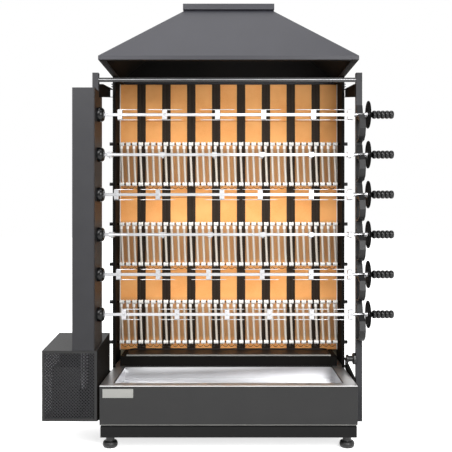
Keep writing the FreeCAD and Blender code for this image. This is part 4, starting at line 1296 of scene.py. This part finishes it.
@dataclass
class Feet:
    """Levelling feet: a soft pad, a turned neck, a lock nut and a threaded stud."""

    pad_radius: float = 33.5 * MM
    pad_height: float = 30 * MM
    neck_radius: float = 21 * MM
    neck_top: float = 57.7 * MM
    nut_radius: float = 20 * MM
    nut_height: float = 9 * MM
    stud_radius: float = 5.8 * MM

    def foot_shape(self, bottom: float, top: float) -> Surface:
        """Pad with a groove round it and its neck, all in one profile, then nut and stud.

        Args:
            bottom: The height of the floor.
            top: Where the stud ends.

        Returns:
            The foot about the z axis.
        """
        r = self.pad_radius
        neck = self.neck_radius
        pad_top = bottom + self.pad_height
        nut_bottom = self.neck_top - self.nut_height
        pad = turned([
            (bottom, r - 7 * MM),
            (bottom + 3 * MM, r - 3.5 * MM),
            (bottom + 8 * MM, r - 0.8 * MM),
            (bottom + 14 * MM, r),
            (bottom + 15 * MM, r - 1.2 * MM),
            (bottom + 16.5 * MM, r - 1.2 * MM),
            (bottom + 17.5 * MM, r),
            (pad_top - 6 * MM, r - 1.5 * MM),
            (pad_top - 1.5 * MM, r - 5 * MM),
            (pad_top, r - 9 * MM),
            (pad_top, neck),
            (pad_top + 6 * MM, neck * 0.9),
            (nut_bottom, neck * 0.9),
        ], sides=48, axis="z")
        nut_profile = [(nut_bottom, self.nut_radius), (self.neck_top, self.nut_radius)]
        nut = turned(nut_profile, sides=6, axis="z")
        stud_profile = [(self.neck_top, self.stud_radius), (top, self.stud_radius)]
        return joined(pad, nut, turned(stud_profile, sides=20, axis="z"))

    def build(self) -> None:
        """Make each foot in the place of its CAD node."""
        for name in ("foot_front_left", "foot_front_right", "foot_rear_left", "foot_rear_right"):
            low, high = ends(name)
            x, y, _ = (low + high) / 2
            shape = self.foot_shape(low[2], high[2]).moved(x=x, y=y)
            place_piece("levelling_" + name, shape, FOOT_RUBBER, name, (name,))


@dataclass
class Knob:
    """Clamp knob with a fluted flange and a small round end."""

    lobes: int = 8
    flute: float = 1.6 * MM
    sides: int = 96

    def build(self) -> None:
        """Make the knob.

        On the flange the radius is less by the flute times (one half less half the cosine of
        the angle times the lobes).
        """
        low, high = ends("clamp_knob")
        _, y, z = (low + high) / 2
        radius = (high[2] - low[2]) / 2
        left, right = low[0], high[0]
        angle = np.arange(self.sides) * FULL_TURN / self.sides
        wave = self.flute * (0.5 - 0.5 * np.cos(self.lobes * angle))
        # Place along x, radius as a share of the flange's, and whether the flutes run there
        rings = [
            (left, 0.55, False),
            (left + 1.5 * MM, 0.7, False),
            (left + 9 * MM, 0.7, False),
            (left + 11 * MM, 0.5, False),
            (right - 15 * MM, 0.5, False),
            (right - 13 * MM, 0.94, True),
            (right - 11 * MM, 1.0, True),
            (right - 2 * MM, 1.0, True),
            (right, 0.94, True),
        ]
        radii = [radius * share - wave * fluted for _, share, fluted in rings]
        knob = ringed([place for place, _, _ in rings], radii)
        place_piece("fluted_knob", knob.moved(y=y, z=z), MOULDED_BLACK, "clamp_knob",
                    ("clamp_knob",))


@dataclass
class Trim:
    """Nuts on the side walls, painted highlights along the edges in front, and the bare plate on the
    drawer.
    """

    plate_left: float = 555 * MM
    plate_right: float = 420 * MM
    plate_bottom: float = 234 * MM
    plate_top: float = 273 * MM
    plate_proud: float = 0.9 * MM
    nut_radius: float = 5 * MM
    nut_length: float = 8 * MM
    nut_depth: float = 11 * MM
    nut_heights: tuple[float, ...] = (1674 * MM, 1686 * MM)
    bar_edge: float = 2.2 * MM
    sunk: float = 0.2 * MM

    def place_plate(self) -> None:
        """Put the bare plate on the drawer's front."""
        low, _ = ends("drawer_front")
        fire = middle_of_fire()
        plate = slab(
            (fire - self.plate_left, fire - self.plate_right),
            (low[1] - self.plate_proud, low[1] + self.sunk),
            (self.plate_bottom, self.plate_top),
        )
        place_piece("bare_plate", plate, PLATE_METAL, "drip_drawer", bevel=0.4 * MM)

    def edge_highlight(self, node: str, z: tuple[float, float]) -> Surface:
        """A painted highlight: a pale line along the front edge of a CAD node.

        Args:
            node: The CAD node.
            z: The line's lower and upper height.

        Returns:
            The line, half a millimetre proud and a millimetre short at each end.
        """
        low, high = ends(node)
        return slab((low[0] + MM, high[0] - MM), (low[1] - 0.5 * MM, low[1] + self.sunk), z)

    def nuts(self) -> list[Surface]:
        """A hexagon nut and its bolt's end at each height on the outside of each wall.

        Returns:
            The nuts of the left wall, then those of the right.
        """
        low, high = ends("side_walls")
        shoulder = self.nut_length * 0.6
        bolt = self.nut_radius * 0.6
        profile = [(0, self.nut_radius), (shoulder, self.nut_radius), (shoulder, bolt),
                   (self.nut_length, bolt)]
        nut = turned(profile, sides=6)
        nuts = []
        for face, outwards in ((low[0], -1.0), (high[0], 1.0)):
            facing = Surface(nut.points * np.array([outwards, 1.0, 1.0]), nut.faces)
            for z in self.nut_heights:
                nuts.append(facing.moved(x=face, y=low[1] + self.nut_depth, z=z))
        return nuts

    def tray_lip_highlight(self) -> Surface:
        """The crumb tray's front edge, with its highlight painted on.

        Returns:
            A thin block in front of the tray.
        """
        low, high = ends("crumb_tray")
        return slab(
            (low[0] + 2 * MM, high[0] - 2 * MM),
            (low[1] - 0.6 * MM, low[1] + 0.4 * MM),
            (low[2] + 1 * MM, high[2]),
        )

    def build(self) -> None:
        """Add the plate, the painted highlights on the hem and the edges, and the nuts."""
        self.place_plate()
        front_bottom = ends("drawer_front")[0][2]
        # A pale line on the drawer front's lower hem: a painted highlight.
        hem = self.edge_highlight("drawer_front", (front_bottom + 0.5 * MM, front_bottom + 2.5 * MM))
        place_piece("hem_highlight", hem, PLATE_METAL, "drip_drawer", bevel=0.1 * MM)
        place_piece("wall_nuts", joined(*self.nuts()), DULL_STEEL, "stand")
        # A pale steel line across the crossbar's face: the highlight of the light on the bar,
        # painted.
        bar_middle = middle("crossbar")[2]
        strip = self.edge_highlight("crossbar", (bar_middle, bar_middle + self.bar_edge))
        place_piece("crossbar_highlight", strip, DULL_STEEL, "stand", bevel=0.1 * MM)
        # The tray's front edge: a painted highlight.
        place_piece("tray_lip_highlight", self.tray_lip_highlight(), PLATE_METAL, "stand",
                    bevel=0.1 * MM)


@dataclass(frozen=True)
class Lamp:
    """A square soft lamp: its place, the point it faces, the side of its square and its watts."""

    name: str
    place: tuple[float, float, float]
    aim: tuple[float, float, float]
    size: float
    power: float

    def build(self) -> None:
        """Put the lamp in the scene and turn it to its point."""
        data = bpy.data.lights.new(self.name, "AREA")
        data.size = self.size
        data.energy = self.power
        lamp = bpy.data.objects.new(self.name, data)
        bpy.context.scene.collection.objects.link(lamp)
        lamp.location = self.place
        way = Vector(self.aim) - Vector(self.place)
        lamp.rotation_euler = way.to_track_quat("-Z", "Y").to_euler()


@dataclass
class Studio:
    """Pale floor, soft lamps and a level camera.

    The hearth lamps stand for the heaters' glow on the lining: name, height and watts.
    """

    lamps: tuple[Lamp, ...] = (
        Lamp("key_lamp", (-1.3, -2.3, 3.0), (-0.1, 0.0, 1.2), 1.8, 110.0),
        Lamp("fill_lamp", (1.3, -3.4, 2.0), (0.1, 0.0, 1.3), 1.8, 105.0),
        Lamp("top_lamp", (0.0, -0.6, 4.6), (0.0, -0.1, 1.7), 2.6, 55.0),
    )
    hearths: tuple[tuple[str, float, float], ...] = (
        ("upper_hearth", 1.5, 0.8), ("lower_hearth", 0.7, 0.2)
    )
    hearth_front: float = -0.12
    hearth_back: float = 0.25
    hearth_size: float = 1.0
    floor_glow: float = 0.72
    floor_shade: float = 0.12
    wall_light: float = 0.1
    ceiling_light: float = 0.75
    wall_top: float = -0.15
    ceiling_edge: float = 0.55
    camera_back: float = 3.2
    camera_height: float = 1.039
    focal_pixels: float = 727.0
    frame_pixels: float = 452.0
    middle_x_pixel: float = 228.6
    horizon_pixel: float = 215.0

    def build(self) -> None:
        """Make the floor, the lamps, the world and the camera."""
        bpy.context.scene.view_settings.view_transform = "Standard"
        self.floor()
        for lamp in self.lamps:
            lamp.build()
        fire = middle_of_fire()
        for name, height, power in self.hearths:
            place = (fire, self.hearth_front, height)
            aim = (fire, self.hearth_back, height)
            Lamp(name, place, aim, self.hearth_size, power).build()
        self.world()
        self.camera()

    def sight(self, tree: bpy.types.NodeTree) -> bpy.types.NodeSocket:
        """One for rays of the camera, of gloss and through glass, and zero for the rest.

        Args:
            tree: The node tree that asks.

        Returns:
            The output with that number.
        """
        rays = add_node(tree, "ShaderNodeLightPath")
        total = rays.outputs["Is Camera Ray"]
        for kind in ("Is Glossy Ray", "Is Transmission Ray"):
            step = add_node(tree, "ShaderNodeMath", {0: total, 1: rays.outputs[kind]},
                            operation="MAXIMUM")
            total = step.outputs["Value"]
        return total

    def floor(self) -> None:
        """A floor that is white to the camera and in gloss, and keeps soft shadows."""
        piece = new_piece("studio_floor", slab((-30, 30), (-20, 30), (-20 * MM, -0.5 * MM)))
        material = bpy.data.materials.new("white_studio_floor")
        material.use_nodes = True
        tree = material.node_tree
        tree.nodes.clear()
        grey = (self.floor_shade, self.floor_shade, self.floor_shade, 1.0)
        paper = add_node(tree, "ShaderNodeBsdfDiffuse", {"Color": WHITE})
        glow = add_node(tree, "ShaderNodeEmission", {"Color": WHITE, "Strength": self.floor_glow})
        seen = add_node(tree, "ShaderNodeAddShader", {0: paper.outputs[0], 1: glow.outputs[0]})
        unseen = add_node(tree, "ShaderNodeBsdfDiffuse", {"Color": grey})
        mix = add_node(tree, "ShaderNodeMixShader",
                       {0: self.sight(tree), 1: unseen.outputs[0], 2: seen.outputs[0]})
        add_node(tree, "ShaderNodeOutputMaterial", {"Surface": mix.outputs[0]})
        piece.data.materials.append(material)

    def world(self) -> None:
        """White to the camera and in gloss; its light falls off from the ceiling to the walls."""
        world = bpy.data.worlds.new("studio")
        bpy.context.scene.world = world
        world.use_nodes = True
        tree = world.node_tree
        tree.nodes.clear()
        place = add_node(tree, "ShaderNodeTexCoord")
        split = add_node(tree, "ShaderNodeSeparateXYZ", {0: place.outputs["Generated"]})
        level = add_node(tree, "ShaderNodeMapRange", {
            "Value": split.outputs["Z"], "From Min": self.wall_top, "From Max": self.ceiling_edge,
            "To Min": self.wall_light, "To Max": self.ceiling_light,
        })
        room = add_node(tree, "ShaderNodeBackground",
                        {"Color": WHITE, "Strength": level.outputs["Result"]})
        page = add_node(tree, "ShaderNodeBackground", {"Color": WHITE, "Strength": 1.0})
        mix = add_node(tree, "ShaderNodeMixShader",
                       {0: self.sight(tree), 1: room.outputs[0], 2: page.outputs[0]})
        add_node(tree, "ShaderNodeOutputWorld", {"Surface": mix.outputs[0]})

    def camera(self) -> None:
        """A level camera in front of the middle of the fire, shifted to the photograph's frame."""
        data = bpy.data.cameras.new("camera")
        data.sensor_width = 36.0
        data.lens = data.sensor_width * self.focal_pixels / self.frame_pixels
        half = self.frame_pixels / 2
        data.shift_x = (half - self.middle_x_pixel) / self.frame_pixels
        data.shift_y = (self.horizon_pixel - half) / self.frame_pixels
        camera = bpy.data.objects.new("camera", data)
        bpy.context.scene.collection.objects.link(camera)
        front = ends("drawer_front")[0][1]
        camera.location = (middle_of_fire(), front - self.camera_back, self.camera_height)
        camera.rotation_euler = (math.pi / 2, 0.0, 0.0)
        bpy.context.scene.camera = camera


# Sheet and bar pieces that keep the CAD's shape: node, finish, body, slot, edge in millimetres
FOLDED: tuple[tuple[str, Finish, str, str, float], ...] = (
    ("base_cabinet", BLACK_COAT, "stand", "black_sheet", 1.0),
    ("plinth_frame", PLINTH_PAINT, "stand", "dark_frame", 1.0),
    ("pan_top_frame", STEEL_SHEET, "stand", "stainless", 0.8),
    ("drawer_front", FRONT_COAT, "drip_drawer", "black_sheet", 1.2),
    ("drip_pan", PAN_STEEL, "drip_drawer", "stainless", 0.5),
    ("drawer_slides", STEEL_SHEET, "drip_drawer", "stainless", 0.8),
    ("drawer_rails", STEEL_SHEET, "stand", "stainless", 0.8),
    ("firebox_floor", SOOT_AND_SHADE_SHEET, "stand", "black_sheet", 1.0),
    ("crumb_tray", SMOKED_STEEL, "stand", "stainless", 0.5),
    ("side_walls", BLACK_COAT, "stand", "black_sheet", 0.8),
    ("insulation_board", WOOL_BOARD, "stand", "wool_board", 0.5),
    ("back_panel", BLACK_COAT, "stand", "black_sheet", 0.8),
    ("tile_channels", CHANNEL_STEEL, "stand", "black_sheet", 0.8),
    ("bead_rods", BLACK_CASTING, "stand", "heater_metal", 0.5),
    ("posts", COVER_COAT, "stand", "black_sheet", 0.8),
    ("crossbar", BLACK_COAT, "stand", "black_sheet", 0.6),
    ("post_arms", SOOT_AND_SHADE_SHEET, "stand", "black_sheet", 0.6),
    ("hood", HOOD_COAT, "stand", "hood_paint", 1.0),
    ("flue_collar", HOOD_COAT, "stand", "hood_paint", 0.8),
    ("spit_cradles", BLACK_COAT, "stand", "black_sheet", 0.8),
    ("drive_cover", COVER_COAT, "stand", "black_sheet", 1.2),
    ("bearing_plate", BLACK_COAT, "stand", "black_sheet", 0.8),
    ("motor_plate", SOOT_AND_SHADE_SHEET, "stand", "black_sheet", 0.8),
    ("gear_motor", BLACK_CASTING, "stand", "motor_casting", 3.0),
)
# Pieces that stay as the CAD drew them
KEPT: dict[str, Finish] = {
    "drive_chain": DULL_STEEL,
    "motor_sprocket": DULL_STEEL,
    **{"drive_shaft_%d" % number: DULL_STEEL for number in SPITS},
}


def main() -> None:
    """Load the frame, dress each sub-assembly and set up the studio."""
    logging.basicConfig(level=logging.INFO, format="%(name)s: %(message)s")
    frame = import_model()
    for node, finish, body, slot, edge in FOLDED:
        soften(frame, node, finish, body, edge * MM)
    for node, finish in KEPT.items():
        mesh = frame["nodes"][node].data
        mesh.materials.clear()
        mesh.materials.append(finish.material())
        log.info("%s keeps its CAD shape", node)
    parts = (SpitSet(), HeaterBanks(), Lining(), Deck(), Guard(), Bearings(), Feet(), Knob(), Trim())
    for part in parts:
        part.build()
        log.info("%s is built", type(part).__name__)
    Studio().build()


if __name__ == "__main__":
    main()
